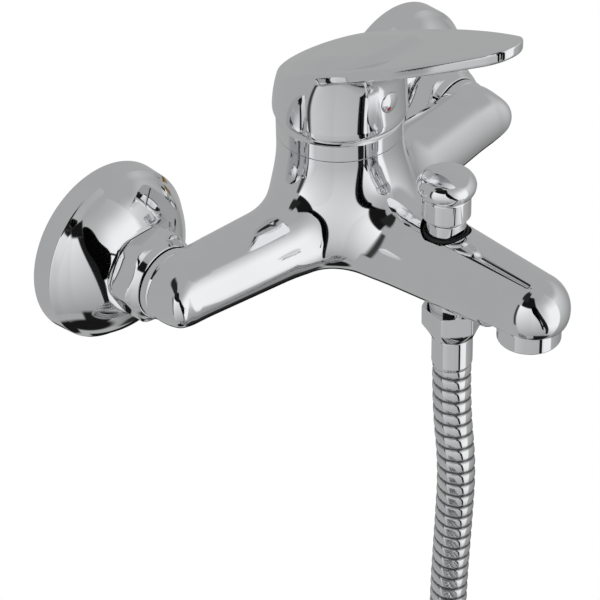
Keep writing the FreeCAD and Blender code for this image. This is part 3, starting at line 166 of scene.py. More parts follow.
floor = bpy.data.objects.new("paper_floor", bpy.data.meshes.new("paper_floor"))
floor_half, floor_level = 3, -0.36
floor.data.from_pydata([(x * floor_half, y * floor_half, floor_level)
                        for x, y in ((-1, -1), (1, -1), (1, 1), (-1, 1))], [], [(0, 1, 2, 3)])
bpy.context.scene.collection.objects.link(floor)
floor.visible_glossy = False

# The boxes stand near the tap, so each piece sees the dark gap from its own side. Two dark
# screens in the gap paint its shade into the chrome, the first at the front box's edge and the
# second at the left box's: each has one side from the top to the floor and then its other side, in
# metres.
screens = [[(-0.243, -0.312, 0.340), (-0.197, -0.321, 0.140), (-0.123, -0.292, 0.055),
            (-0.090, -0.307, 0.000), (-0.088, -0.330, -0.085), (-0.090, -0.430, -0.200),
            (-0.919, -0.832, 1.200), (-0.818, -0.937, 0.470), (-0.705, -1.031, 0.220),
            (-0.545, -1.129, -0.030), (-0.420, -1.184, -0.270), (-0.331, -1.214, -0.550)],
           [(-0.450, -0.700, 0.550), (-0.331, -0.551, 0.170), (-0.136, -0.326, 0.020),
            (-0.075, -0.266, -0.015), (-0.043, -0.231, -0.042), (-0.024, -0.212, -0.060),
            (-0.300, -0.300, 0.300), (-0.207, -0.267, 0.105), (-0.136, -0.262, 0.035),
            (-0.069, -0.230, -0.005), (-0.045, -0.217, -0.040), (-0.035, -0.212, -0.060)]]
gap = bpy.data.objects.new("dark_gap", bpy.data.meshes.new("dark_gap"))
rungs = len(screens[0]) // 2
gap.data.from_pydata(screens[0] + screens[1], [],
                     [(k, k + 1, k + rungs + 1, k + rungs) for first in (0, 2 * rungs)
                      for k in range(first, first + rungs - 1)])
bpy.context.scene.collection.objects.link(gap)
smoothing = gap.modifiers.new("bend", "SUBSURF")
smoothing.levels = smoothing.render_levels = 4
gap.visible_camera = gap.visible_diffuse = False
gap.visible_shadow = gap.visible_transmission = False


def new_material(name):
    """A new material, its tree, its shader, and Object coordinates to place its pattern by."""
    material = bpy.data.materials.new(name)
    material.use_nodes = True
    tree = material.node_tree
    tree.nodes.clear()
    shader = add_node(tree, "ShaderNodeBsdfPrincipled")
    add_node(tree, "ShaderNodeOutputMaterial", {0: shader.outputs[0]})
    place = add_node(tree, "ShaderNodeTexCoord").outputs["Object"]
    return material, tree, shader, place


def noise(tree, place, size_mm, detail=2.0):
    """Noise whose lumps are about size_mm across."""
    return add_node(tree, "ShaderNodeTexNoise", {"Vector": place, "Scale": 1 / (size_mm * MM),
                                                 "Detail": detail}).outputs[0]


def spread(tree, amount, low, high):
    """Noise, which keeps near its middle, spread out from the low value to the high one."""
    inputs = {0: amount, 1: 0.3, 2: 0.7, 3: low, 4: high}
    return add_node(tree, "ShaderNodeMapRange", inputs).outputs[0]


def tint(tree, amount, first, second):
    inputs = {"Factor": amount, 6: linear(first), 7: linear(second)}
    return add_node(tree, "ShaderNodeMix", inputs, data_type="RGBA").outputs[2]


paper_white, tree, shader, place = new_material("white_paper")
# Matt paper, which the camera sees as plain white.
grain = noise(tree, place, 6)
tree.links.new(tint(tree, grain, "#F4F4F4", "#FBFBFB"), shader.inputs["Base Color"])
shader.inputs["Roughness"].default_value = 0.9
glow = add_node(tree, "ShaderNodeEmission", {0: (1, 1, 1, 1), 1: 1.0})
seen = add_node(tree, "ShaderNodeLightPath").outputs["Is Camera Ray"]
mixed = add_node(tree, "ShaderNodeMixShader", {0: seen, 1: shader.outputs[0], 2: glow.outputs[0]})
output = next(node for node in tree.nodes if node.bl_idname == "ShaderNodeOutputMaterial")
tree.links.new(mixed.outputs[0], output.inputs[0])
floor.data.materials.append(paper_white)
unlit_room_shade, tree, shader, place = new_material("unlit_room_shade")
# Painted shade for the unlit room in the gap: almost black, with a trace of folds.
folds = noise(tree, place, 80)
tree.links.new(tint(tree, folds, "#050505", "#0C0C0D"), shader.inputs["Base Color"])
shader.inputs["Roughness"].default_value = 1.0
shader.inputs["Specular IOR Level"].default_value = 0.0
gap.data.materials.append(unlit_room_shade)

# Shower hose
# A strip-wound hose: a chromed brass strip with rolled edges, wound into an interlocked spiral
# round a rubber liner. It hangs from its nut, and the rest is coiled under the tap and tied.
hose_mm, hose_length, rib_pitch, groove_width, groove_depth = 14.0, 1.501, 5.2, 1.0, 0.5
outlet_y = 97.5
route = [(outlet_y, 43.0), (outlet_y, 62.0), (100.9, 88.0), (99.6, 116.0), (outlet_y, 152.0),
         (outlet_y, 193.8)]
coil_mm, coil_pitch, coil_level, coil_turns, hose_end = 68.0, 15.2, 212.0, 3, 262.5
corner_step = 30
corner_mm = coil_mm / math.cos(math.radians(corner_step / 2))
hose_points = [(0, -out, -down) for out, down in route]
for step in range(coil_turns * 360 // corner_step):
    degrees = corner_step * (step + 0.5)
    angle = math.radians(degrees)
    hose_points.append((corner_mm * math.cos(angle) - coil_mm,
                        -outlet_y - coil_pitch * degrees / 360,
                        -coil_level - corner_mm * math.sin(angle)))
hose_points.append((0, -outlet_y - coil_pitch * coil_turns, -hose_end))

hose_curve = bpy.data.curves.new("shower_hose_line", "CURVE")
hose_curve.dimensions = "3D"
spline = hose_curve.splines.new("NURBS")
spline.points.add(len(hose_points) - 1)
for point, spot in zip(spline.points, hose_points):
    point.co = (*(value * MM for value in spot), 1)
spline.order_u = 3
spline.use_endpoint_u = True
hose_curve.resolution_u = 16
hose_line = bpy.data.objects.new("shower_hose_line", hose_curve)
bpy.context.scene.collection.objects.link(hose_line)


def evaluated(thing):
    """A plain mesh of what an object shows with its modifiers and curves worked out."""
    graph = bpy.context.evaluated_depsgraph_get()
    return bpy.data.meshes.new_from_object(thing.evaluated_get(graph))


hose_path = [tuple(vertex.co) for vertex in evaluated(hose_line).vertices]


def node_group(name, sizes):
    """A geometry tree whose input takes a shape and these named sizes."""
    tree = bpy.data.node_groups.new(name, "GeometryNodeTree")
    tree.interface.new_socket("Geometry", in_out="INPUT", socket_type="NodeSocketGeometry")
    tree.interface.new_socket("Geometry", in_out="OUTPUT", socket_type="NodeSocketGeometry")
    for label in sizes:
        tree.interface.new_socket(label, in_out="INPUT", socket_type="NodeSocketFloat")
    given = add_node(tree, "NodeGroupInput").outputs
    return tree, given


def shaped(thing, tree, sizes):
    """The plain mesh that a geometry tree makes of an object, with its sizes given in mm."""
    modifier = thing.modifiers.new(tree.name, "NODES")
    modifier.node_group = tree
    for item in tree.interface.items_tree:
        if item.in_out == "INPUT" and item.name in sizes:
            modifier[item.identifier] = sizes[item.name] * MM
    mesh = evaluated(thing)
    thing.modifiers.remove(modifier)
    return mesh


hose_chrome, tree, shader, place = new_material("chromed_brass_strip")
# Chromium on a rolled strip: mirror bright on the crests, with painted shade darkening the grooves,
# which are rougher as well.
shader.inputs["Metallic"].default_value = 1.0
groove = add_node(tree, "ShaderNodeAttribute", attribute_name="groove").outputs["Fac"]
buffing = spread(tree, noise(tree, place, 5), 0.0, 1.0)
bright = tint(tree, buffing, "#E6E7E9", "#F2F3F4")
# Painted shade: the grooves are drawn in a near-black grey.
groove_painted_shade = add_node(tree, "ShaderNodeMix", {"Factor": groove, 6: bright, 7: linear("#3C3C3E")},
                data_type="RGBA")
tree.links.new(groove_painted_shade.outputs[2], shader.inputs["Base Color"])
rough = add_node(tree, "ShaderNodeMapRange", {0: groove, 3: 0.07, 4: 0.35}).outputs[0]
tree.links.new(rough, shader.inputs["Roughness"])


def stored(tree, shape, name, value, kind="FLOAT"):
    """Keeps a value on a shape's points under a name."""
    inputs = {"Geometry": shape, "Name": name, "Value": value}
    return add_node(tree, "GeometryNodeStoreNamedAttribute", inputs, data_type=kind,
                    domain="POINT").outputs[0]


def recalled(tree, name, kind="FLOAT"):
    return add_node(tree, "GeometryNodeInputNamedAttribute", {"Name": name},
                    data_type=kind).outputs[0]


# A tube is swept along the line. Round it runs a spiral of grooves, one to each pitch: where a
# point lies between two grooves says how far it is moved in towards the middle of the hose.
steps_in_pitch, ring_sides, crown_drop = 10.0, 22, 0.28
winding, given = node_group("strip_winding", ["Radius", "Pitch", "Groove Width", "Groove Depth"])
pitch = given["Pitch"]
step_length = calc(winding, "DIVIDE", pitch, steps_in_pitch)
drawn = add_node(winding, "GeometryNodeResampleCurve",
                 {"Curve": given["Geometry"], "Length": step_length}, mode="LENGTH").outputs[0]
along = add_node(winding, "GeometryNodeSplineParameter").outputs
drawn = stored(winding, drawn, "run", along["Length"])
spot = add_node(winding, "GeometryNodeInputPosition").outputs[0]
drawn = stored(winding, drawn, "middle", spot, "FLOAT_VECTOR")
ring = add_node(winding, "GeometryNodeCurvePrimitiveCircle",
                {"Resolution": ring_sides, "Radius": given["Radius"]}).outputs[0]
ring = stored(winding, ring, "round", along["Factor"])
tube = add_node(winding, "GeometryNodeCurveToMesh",
                {"Curve": drawn, "Profile Curve": ring, "Fill Caps": True}).outputs[0]
run, turn = recalled(winding, "run"), recalled(winding, "round")
lead = calc(winding, "MULTIPLY_ADD", turn, pitch, run)
within = calc(winding, "FLOORED_MODULO", lead, pitch)
half_pitch = calc(winding, "MULTIPLY", pitch, 0.5)
off = calc(winding, "ABSOLUTE", calc(winding, "SUBTRACT", within, half_pitch))
share = calc(winding, "DIVIDE", off, given["Groove Width"])
dip = add_node(winding, "ShaderNodeMapRange", {0: share, 1: 0.15, 2: 0.95, 3: 1.0, 4: 0.0},
               interpolation_type="SMOOTHSTEP").outputs[0]
tube = stored(winding, tube, "groove", dip)
crown = calc(winding, "DIVIDE", off, half_pitch)
crown = add_node(winding, "ShaderNodeMapRange",
                 {0: crown, 1: 0.0, 2: 1.0, 3: crown_drop, 4: 0.0}).outputs[0]
depth = calc(winding, "MULTIPLY", calc(winding, "MAXIMUM", dip, crown), given["Groove Depth"])
middle = recalled(winding, "middle", "FLOAT_VECTOR")
inward = add_node(winding, "ShaderNodeVectorMath", {0: middle, 1: spot},
                  operation="SUBTRACT").outputs[0]
inward = add_node(winding, "ShaderNodeVectorMath", {0: inward}, operation="NORMALIZE").outputs[0]
inward = add_node(winding, "ShaderNodeVectorMath", {0: inward, "Scale": depth},
                  operation="SCALE").outputs[0]
tube = add_node(winding, "GeometryNodeSetPosition", {"Geometry": tube, "Offset": inward}).outputs[0]
tube = add_node(winding, "GeometryNodeRealizeInstances", {"Geometry": tube}).outputs[0]
tube = add_node(winding, "GeometryNodeSetMaterial",
                {"Geometry": tube, "Material": hose_chrome}).outputs[0]
add_node(winding, "NodeGroupOutput", {"Geometry": tube})


def finished(name, mesh, replaces, material=None, body="tap", slot="polished_chrome", crease=38):
    """A piece of the tap: outward faces, smooth but for real edges, on its body."""
    work = bmesh.new()
    work.from_mesh(mesh)
    bmesh.ops.remove_doubles(work, verts=work.verts, dist=1e-7)
    bmesh.ops.recalc_face_normals(work, faces=work.faces)
    work.to_mesh(mesh)
    work.free()
    mesh.polygons.foreach_set("use_smooth", [True] * len(mesh.polygons))
    mesh.set_sharp_from_angle(angle=math.radians(crease))
    mesh.name = name
    if material:
        mesh.materials.clear()
        mesh.materials.append(material)
    piece = bpy.data.objects.new(name, mesh)
    bpy.context.scene.collection.objects.link(piece)
    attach(piece, body)
    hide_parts(*replaces)
    return piece


hose_mesh = shaped(hose_line, winding, {"Radius": hose_mm / 2, "Pitch": rib_pitch,
                                        "Groove Width": groove_width,
                                        "Groove Depth": groove_depth})
hose = finished("shower_hose_winding", hose_mesh, ["shower_hose", "shower_hose_coil"],
                slot="hose_metal")
bpy.data.objects.remove(hose_line)


# Wall flanges
# Two brass roses, spun over a former, buffed and chromed: a plain rim, a crease and a dome that
# closes round the union. Each is screwed up against the tiles by hand.
def mottled(made, lump_mm, detail, colours, roughness, metallic=0.0):
    """Lets a new material's colour and roughness run between two ends with the same noise."""
    material, tree, shader, place = made
    shader.inputs["Metallic"].default_value = metallic
    lumps = noise(tree, place, lump_mm, detail)
    tree.links.new(tint(tree, lumps, *colours), shader.inputs["Base Color"])
    tree.links.new(spread(tree, lumps, *roughness), shader.inputs["Roughness"])
    return material


# Bright chromium over nickel on buffed brass or zinc: a mirror, with the faintest haze where the
# buffing wheel changed direction and where fingers have been.
polished_chrome = mottled(new_material("polished_chrome_plate"), 16, 3.0,
                          ("#EAEBED", "#F3F4F5"), (0.035, 0.06), 1.0)


def rounded(corners):
    """A turned outline: each corner is (radius, height, rounding), and flats keep to their line."""
    hold, most, spare = 0.15, 0.45, 2.2
    points = []
    spots = [Vector(corner[:2]) for corner in corners]
    for index, corner in enumerate(corners):
        here, before, after = spots[index], spots[index - 1], spots[(index + 1) % len(spots)]
        size = corner[2] if len(corner) > 2 else 0
        if not size:
            points.append(here)
            continue
        back_way, next_way = (before - here), (after - here)
        back_room, next_room = back_way.length, next_way.length
        back_way.normalize()
        next_way.normalize()
        half = back_way.angle(next_way) / 2
        cut = min(size / math.tan(half), back_room * most, next_room * most)
        if back_room > spare * (cut + hold):
            points.append(here + back_way * (cut + hold))
        for share in (0, 0.25, 0.5, 0.75, 1):
            points.append(here + back_way * cut * (1 - share) ** 2 + next_way * cut * share ** 2)
        if next_room > spare * (cut + hold):
            points.append(here + next_way * (cut + hold))
    return [tuple(point) for point in points]


def bow(start, end, radius, count):
    """Points between two ends on an arc; above zero it bulges to the right of the way along."""
    start, end = Vector(start), Vector(end)
    chord = end - start
    half = chord.length / 2
    left = Vector((-chord.y, chord.x)).normalized()
    away = math.copysign(math.sqrt(radius * radius - half * half), radius)
    centre = (start + end) / 2 + left * away
    first, last = start - centre, end - centre
    sweep = first.angle_signed(last)
    points = []
    for step in range(count + 1):
        turn = -sweep * step / count
        points.append((centre.x + first.x * math.cos(turn) - first.y * math.sin(turn),
                       centre.y + first.x * math.sin(turn) + first.y * math.cos(turn)))
    return points


# Where the two sides and the height of a turned outline point
AXES = {"up": ((1, 0, 0), (0, 1, 0), (0, 0, 1)), "down": ((1, 0, 0), (0, -1, 0), (0, 0, -1)),
        "front": ((1, 0, 0), (0, 0, 1), (0, -1, 0))}


def turned_mesh(outline, at, facing="up", segments=128, rule=None):
    """The mesh of a turned piece from its closed outline of (radius, height), in mm. A rule may
    take in the radius by angle, for flats."""
    outline = np.array(outline, float)
    angles = np.arange(segments) * 2 * math.pi / segments
    radius = np.repeat(outline[:, :1], segments, axis=1)
    rise = np.repeat(outline[:, 1:], segments, axis=1)
    if rule:
        radius = rule(radius, angles)
    side, over, ahead = (np.array(axis, float) for axis in AXES[facing])
    spots = (np.array(at, float) + (radius * np.cos(angles))[..., None] * side
             + (radius * np.sin(angles))[..., None] * over + rise[..., None] * ahead) * MM
    rows, faces = len(outline), []
    for row in range(rows):
        following = (row + 1) % rows
        for column in range(segments):
            beside = (column + 1) % segments
            faces.append((row * segments + column, row * segments + beside,
                          following * segments + beside, following * segments + column))
    mesh = bpy.data.meshes.new("turned")
    mesh.from_pydata(spots.reshape(-1, 3).tolist(), [], faces)
    return mesh


def turned_piece(name, outline, at, facing, segments, node, rule=None, **settings):
    """A turned piece of the tap, in the place of one node; chromed unless its settings differ."""
    mesh = turned_mesh(outline, at, facing, segments, rule)
    return finished(name, mesh, [node], **{"material": polished_chrome, **settings})


inlet_x = 75.0
flange_outline = (rounded([(30.85, 0), (32.05, 0, 0.2), (31.6, 7.6, 1.3), (30.2, 9.4)])
                  + bow((29.9, 9.75), (16.2, 21.0), 26.0, 20)
                  + rounded([(16.2, 21.0), (13.28, 21.0), (13.28, 15.0), (14.7, 15.0)])
                  + bow((14.7, 19.8), (29.4, 7.7), -24.8, 16))
for side, sign in (("left", -1), ("right", 1)):
    turned_piece("flange_" + side, flange_outline, (inlet_x * sign, 0, 0), "front", 160,
                 "wall_flange_" + side)

# Offset unions
# Hot-pressed brass fittings that screw into the wall outlets and, by their offset, set the
# spacing. The end in the wall has a cut pipe thread, 14 turns to the inch; the end under the
# nut doesn't show and is plain.

# Turned brass, unplated: a warm yellow metal with fine tool lines and dull where tape was wound.
made = new_material("machined_brass")
machined_brass, tree, shader, place = made
mottled(made, 4, 3.0, ("#B8954E", "#D0B069"), (0.22, 0.38), 1.0)
tool_line, line_depth = 0.4, 0.02
lines = add_node(tree, "ShaderNodeTexWave", {
    "Vector": place, "Scale": 1 / (tool_line * MM) / 20, "Distortion": 0.6},
    bands_direction="Y").outputs[1]
ridges = add_node(tree, "ShaderNodeBump", {
    "Strength": 0.15, "Distance": line_depth * MM, "Height": lines}).outputs[0]
tree.links.new(ridges, shader.inputs["Normal"])

flank_share, root_share = 0.42, 0.25
threading, given = node_group("cut_thread",
                              ["Crest Radius", "Root Radius", "Pitch", "Length", "Start"])
turns_cut = calc(threading, "DIVIDE", given["Length"], given["Pitch"])
screw = add_node(threading, "GeometryNodeCurveSpiral", {
    "Resolution": 48, "Rotations": turns_cut, "Start Radius": given["Root Radius"],
    "End Radius": given["Root Radius"], "Height": given["Length"]}).outputs[0]
proud = calc(threading, "SUBTRACT", given["Crest Radius"], given["Root Radius"])
flank = calc(threading, "MULTIPLY", given["Pitch"], flank_share)
low_flank = calc(threading, "MULTIPLY", flank, -1.0)
sunk = calc(threading, "MULTIPLY", proud, -root_share)
corners = [add_node(threading, "ShaderNodeCombineXYZ", {0: x, 1: y}).outputs[0]
           for x, y in ((sunk, low_flank), (proud, 0.0), (sunk, flank))]
tooth = add_node(threading, "GeometryNodeCurvePrimitiveQuadrilateral", {
    "Point 1": corners[0], "Point 2": corners[1], "Point 3": corners[1], "Point 4": corners[2]},
    mode="POINTS").outputs[0]
level = add_node(threading, "GeometryNodeSetCurveNormal", {"Curve": screw}, mode="Z_UP").outputs[0]
ridge = add_node(threading, "GeometryNodeCurveToMesh", {
    "Curve": level, "Profile Curve": tooth, "Fill Caps": True}).outputs[0]
lift = add_node(threading, "ShaderNodeCombineXYZ", {2: given["Start"]}).outputs[0]
ridge = add_node(threading, "GeometryNodeTransform",
                 {"Geometry": ridge, "Translation": lift}).outputs[0]
whole = add_node(threading, "GeometryNodeJoinGeometry")
threading.links.new(ridge, whole.inputs[0])
threading.links.new(given["Geometry"], whole.inputs[0])
whole = add_node(threading, "GeometryNodeRealizeInstances",
                 {"Geometry": whole.outputs[0]}).outputs[0]
whole = add_node(threading, "GeometryNodeSetMaterial",
                 {"Geometry": whole, "Material": machined_brass}).outputs[0]
add_node(threading, "NodeGroupOutput", {"Geometry": whole})


def threaded(mesh, sizes, matrix):
    """A blank turned about Z with a thread of these sizes cut on it, moved to its place."""
    blank = bpy.data.objects.new("blank", mesh)
    bpy.context.scene.collection.objects.link(blank)
    cut = shaped(blank, threading, sizes)
    bpy.data.objects.remove(blank)
    cut.transform(matrix)
    return cut


union_offset = 4
wall_thread = {"Crest Radius": 10.46, "Root Radius": 9.3, "Pitch": 1.814, "Length": 14.6,
               "Start": -17.2}
stub_outline = rounded([(7, -18), (9.4, -18, 0.3), (9.4, -1.5), (9.2, -1.5), (9.2, 0.2), (7, 0.2)])
collar_outline = rounded([(7, 0), (13.2, 0, 0.3), (13.2, 26.5, 0.5), (7, 26.5)])
for side, sign in (("left", -1), ("right", 1)):
    to_wall = (Matrix.Translation((inlet_x * sign * MM, 0, -union_offset * MM))
               @ Matrix.Rotation(math.pi / 2, 4, "X"))
    stub = threaded(turned_mesh(stub_outline, (0, 0, 0), "up", 64), wall_thread, to_wall)
    collar = turned_mesh(collar_outline, (inlet_x * sign, 0, 0), "front", 96)
    work = bmesh.new()
    work.from_mesh(stub)
    work.from_mesh(collar)
    work.to_mesh(stub)
    work.free()
    finished("offset_union_thread_" + side, stub, ["offset_union_" + side], machined_brass,
             slot="brass_plain")

# Union nuts, washers and inlet tails
# Forged brass nuts, 30 mm across flats with the corners turned off, chromed. Each pulls a fibre
# washer between the union and the flange of the tail that is screwed into the body.

# Pressed red fibre: dull and slightly mottled where the fibres end at the cut edge.
fibre_board = mottled(new_material("fibre_board"), 0.8, 4.0, ("#5E2C22", "#7A3B2E"), (0.75, 0.95))


def flats(across, turn):
    """The rule that a nut's flats follow: no wider than the hexagon, with eased corners."""
    count, rounding = 6, 0.9

    def rule(radius, angles):
        step = 2 * math.pi / count
        away = (angles - math.radians(turn) + step / 2) % step - step / 2
        flat = across / 2 / np.cos(away)
        gap = np.clip(0.5 + 0.5 * (radius - flat) / rounding, 0, 1)
        return radius * (1 - gap) + flat * gap - rounding * gap * (1 - gap) * 0.5
    return rule


nut_outline = rounded([(13.28, 21.3), (15.7, 21.3, 0.4), (16.5, 22.1, 0.4), (16.5, 29.1, 0.5),
                       (15.0, 30.3, 0.6), (13.6, 32.6, 0.5), (10.06, 32.6), (10.06, 30.0),
                       (13.28, 30.0)])
tail_outline = rounded([(7, 28.5), (12.8, 28.5), (12.8, 30.0), (10, 30.0), (10, 42.1), (7, 42.1)])
for side, sign in (("left", -1), ("right", 1)):
    at = (inlet_x * sign, 0, 0)
    turned_piece("union_nut_hex_" + side, nut_outline, at, "front", 360, "union_nut_" + side,
                 flats(30.0, 30), crease=60)
    turned_piece("inlet_tail_turned_" + side, tail_outline, at, "front", 96, "inlet_tail_" + side)
    nodes["union_washer_" + side].data.materials.clear()
    nodes["union_washer_" + side].data.materials.append(fibre_board)

# Body
# One hollow brass casting, linished, buffed and chromed: a barrel that flares into two arms and
# the spout, mitred elbows, and a ball nose cut away below for the aerator.
reach = 44.0
barrel_r, barrel_foot, hub_r, hub_drop = 22.5, 3.0, 18.4, 1.6
spout_r, nose_r, nose_y, spout_drop = 18.5, 12.6, 133.6, 1.4
shoulder_r, shoulder_y, arm_r = 15.0, 47.2, 12.5
elbow, elbow_r, mitre_r = (inlet_x, -39.4, 0.0), 12.3, 16.8
boss_r, boss_back, boss_front = 12.9, 29.0, 35.6
cutaway_top, cutaway_back = 7.0, 119.5


def blend(first, second, soft):
    """Two distances joined with a fillet about as wide as soft."""
    share = np.clip(0.5 + 0.5 * (second - first) / soft, 0, 1)
    return second * (1 - share) + first * share - soft * share * (1 - share)


def keep_both(first, second, soft):
    """The distance to what two shapes have in common, with its edge eased."""
    return -blend(-first, -second, soft)


def tapered(spots, start, end, start_r, end_r):
    """Distance to a round bar that tapers between two points and ends in balls."""
    start, end = np.array(start, float), np.array(end, float)
    way = end - start
    share = np.clip(((spots - start) @ way) / (way @ way), 0, 1)
    near = start + share[..., None] * way
    return np.linalg.norm(spots - near, axis=-1) - (start_r + share * (end_r - start_r))


def body_surface(spots):
    """The casting's outside. Both arms are drawn at once, with their x folded over the middle."""
    x, y, z = np.abs(spots[..., 0]), spots[..., 1], spots[..., 2]
    folded = np.stack([x, y, z], axis=-1)
    barrel = keep_both(np.hypot(x, y + reach) - barrel_r, -barrel_foot - z, 14.0)
    hub = np.sqrt(x ** 2 + (y + reach) ** 2 + (z + hub_drop) ** 2) - hub_r
    spout = tapered(spots, (0, -reach, -spout_drop), (0, -nose_y, -spout_drop), spout_r, nose_r)
    arm = tapered(folded, (0, -shoulder_y, 0), elbow, shoulder_r, arm_r)
    across = np.hypot(y - elbow[1], z) - elbow_r
    along = np.hypot(x - elbow[0], z) - elbow_r
    limit = np.linalg.norm(folded - np.array(elbow), axis=-1) - mitre_r
    corner = keep_both(keep_both(across, along, 4.2), limit, 2.0)
    ends = keep_both(y + boss_back, -boss_front - y, 0.1)
    boss = keep_both(np.hypot(x - elbow[0], z) - boss_r, ends, 0.6)
    arms = blend(arm, blend(corner, boss, 1.5), 1.2)
    whole = blend(blend(arms, spout, 9.0), hub, 5.0)
    whole = blend(whole, barrel, 16.0)
    cutaway = keep_both(z + cutaway_top, y + cutaway_back, 1.0)
    return keep_both(whole, -cutaway, 1.0)


def slope_of(rule, spots):
    """Which way a rule's distance grows fastest."""
    nudge = 0.02
    ahead = [rule(spots + step) - rule(spots - step) for step in np.eye(3) * nudge]
    return np.stack(ahead, axis=-1) / (2 * nudge)


def shaded_by(rule, piece):
    """Shades a piece by its rule's own slope wherever it still lies on the rule's surface."""
    mesh = piece.data
    spots, facing = np.empty(len(mesh.vertices) * 3), np.empty(len(mesh.loops) * 3)
    corners = np.empty(len(mesh.loops), int)
    mesh.vertices.foreach_get("co", spots)
    mesh.loops.foreach_get("vertex_index", corners)
    mesh.corner_normals.foreach_get("vector", facing)
    spots, facing = spots.reshape(-1, 3) / MM, facing.reshape(-1, 3)
    slope = slope_of(rule, spots)
    slope /= np.linalg.norm(slope, axis=-1, keepdims=True).clip(0.01)
    near, alike = 0.01, 0.9
    follows = (np.abs(rule(spots)) < near)[corners] & ((slope[corners] * facing).sum(-1) > alike)
    mesh.normals_split_custom_set(np.where(follows[:, None], slope[corners], 0.0).tolist())


def skin(rule, low, high, cell, passes=6):
    """A closed mesh where the rule's distance is zero, for a shape given in mm. Its points are
    evened out along the surface, so that reflections run smoothly over it."""
    lines = [np.arange(start, end + cell, cell) for start, end in zip(low, high)]
    inside = rule(np.stack(np.meshgrid(*lines, indexing="ij"), axis=-1)) < 0
    wide, deep, tall = (size - 1 for size in inside.shape)
    corners = [inside[i:wide + i, j:deep + j, k:tall + k]
               for i in (0, 1) for j in (0, 1) for k in (0, 1)]
    total = sum(corner.astype(np.int8) for corner in corners)
    crossed = (total > 0) & (total < 8)
    number = np.full(crossed.shape, -1)
    number[crossed] = np.arange(crossed.sum())
    spots = (np.argwhere(crossed) + 0.5) * cell + np.array(low, float)
    quads = []
    for axis in range(3):
        ahead, behind = np.roll(inside, -1, axis), inside
        other = [item for item in range(3) if item != axis]
        trim = [slice(1, -1)] * 3
        trim[axis] = slice(0, -1)
        change = np.argwhere((ahead != behind)[tuple(trim)])
        for item in other:
            change[:, item] += 1
        ring = []
        for back_one, back_two in ((1, 1), (0, 1), (0, 0), (1, 0)):
            cell_at = change.copy()
            cell_at[:, other[0]] -= back_one
            cell_at[:, other[1]] -= back_two
            ring.append(number[tuple(cell_at.T)])
        ring = np.stack(ring, axis=1)
        turn_over = behind[tuple(change.T)] ^ (axis == 1)
        ring[turn_over] = ring[turn_over][:, ::-1]
        quads.append(ring)
    quads = np.concatenate(quads)
    sides = np.concatenate([quads[:, [here, (here + 1) % 4]] for here in range(4)])
    count = np.bincount(sides[:, 0], minlength=len(spots)).clip(1)[:, None]

    def settle(spots):
        """Moves the points back to the surface along its slope."""
        for _ in range(3):
            level = rule(spots)
            slope = slope_of(rule, spots)
            size = (slope ** 2).sum(-1).clip(0.05)
            spots = spots - slope * np.clip(level / size, -1, 1)[:, None]
        return spots

    pull = 0.6
    for _ in range(passes):
        total = np.stack([np.bincount(sides[:, 0], spots[sides[:, 1], item], len(spots))
                          for item in range(3)], axis=1)
        spots = settle(spots * (1 - pull) + total / count * pull)
    mesh = bpy.data.meshes.new("skin")
    mesh.from_pydata((spots * MM).tolist(), [], quads.tolist())
    return mesh


def trimmed(mesh, point, normal, region=None):
    """Cuts off what lies beyond a plane, in mm, and closes the face that it leaves."""
    work = bmesh.new()
    work.from_mesh(mesh)
    faces = [face for face in work.faces
             if region is None or region(face.calc_center_median() / MM)]
    part = list({item for face in faces for item in (*face.verts, *face.edges)}) + faces
    cut = bmesh.ops.bisect_plane(work, geom=part, dist=1e-8, plane_co=Vector(point) * MM,
                                 plane_no=normal, clear_outer=True)
    rim = [item for item in cut["geom_cut"]
           if isinstance(item, bmesh.types.BMEdge) and item.is_boundary]
    bmesh.ops.edgeloop_fill(work, edges=rim)
    work.to_mesh(mesh)
    work.free()
    return mesh


def hollowed(mesh, cutters):
    """Takes the cutters' shapes out of a mesh."""
    blank = bpy.data.objects.new("blank", mesh)
    tool = bpy.data.objects.new("tool", joined(cutters))
    for thing in (blank, tool):
        bpy.context.scene.collection.objects.link(thing)
    bore = blank.modifiers.new("bore", "BOOLEAN")
    bore.operation, bore.solver, bore.object = "DIFFERENCE", "EXACT", tool
    result = evaluated(blank)
    for thing in (blank, tool):
        bpy.data.objects.remove(thing)
    return result


def joined(meshes):
    """One mesh of several, each closed and facing outwards."""
    work = bmesh.new()
    for mesh in meshes:
        work.from_mesh(mesh)
    bmesh.ops.remove_doubles(work, verts=work.verts, dist=1e-7)
    bmesh.ops.recalc_face_normals(work, faces=work.faces)
    whole = bpy.data.meshes.new("joined")
    work.to_mesh(whole)
    work.free()
    return whole


barrel_top, inlet_face, diverter_y, aerator_y = 32.5, 33.1, 93.8, 132
casting = skin(body_surface, (-91, -149, -22), (91, -19, 34), cell=0.66)
casting = trimmed(casting, (0, -reach, barrel_top), (0, 0, 1))
# Behind the inlets' faces only their bosses are cut off, and nothing of the barrel.
for sign in (-1, 1):
    casting = trimmed(casting, (0, -inlet_face, 0), (0, 1, 0),
                      lambda spot: spot.x * sign > 58 and spot.y > -36 and abs(spot.z) < 14)
cartridge_bore = [(0, 8.2), (17.6, 8.2), (17.6, 27.5), (20.06, 27.5), (20.06, 34), (0, 34)]
diverter_bore = [(0, -9.0), (4.5, -9.0), (4.5, -7), (7.2, -7), (7.2, 11.3), (8.9, 11.3),
                 (8.9, 20), (0, 20)]
outlet_bore = [(0, 9.2), (7, 9.2), (7, 14), (9, 14), (9, 22), (0, 22)]
aerator_bore = [(0, 1), (9.2, 1), (9.2, 8), (0, 8)]
inlet_bore = [(0, 31), (10, 31), (10, 42.1), (0, 42.1)]
bores = [turned_mesh(cartridge_bore, (0, -reach, 0)),
         turned_mesh(diverter_bore, (0, -diverter_y, 0)),
         turned_mesh(outlet_bore, (0, -outlet_y, 0), "down"),
         turned_mesh(aerator_bore, (0, -aerator_y, 0), "down")]
for sign in (-1, 1):
    bores.append(turned_mesh(inlet_bore, (inlet_x * sign, 0, 0), "front"))
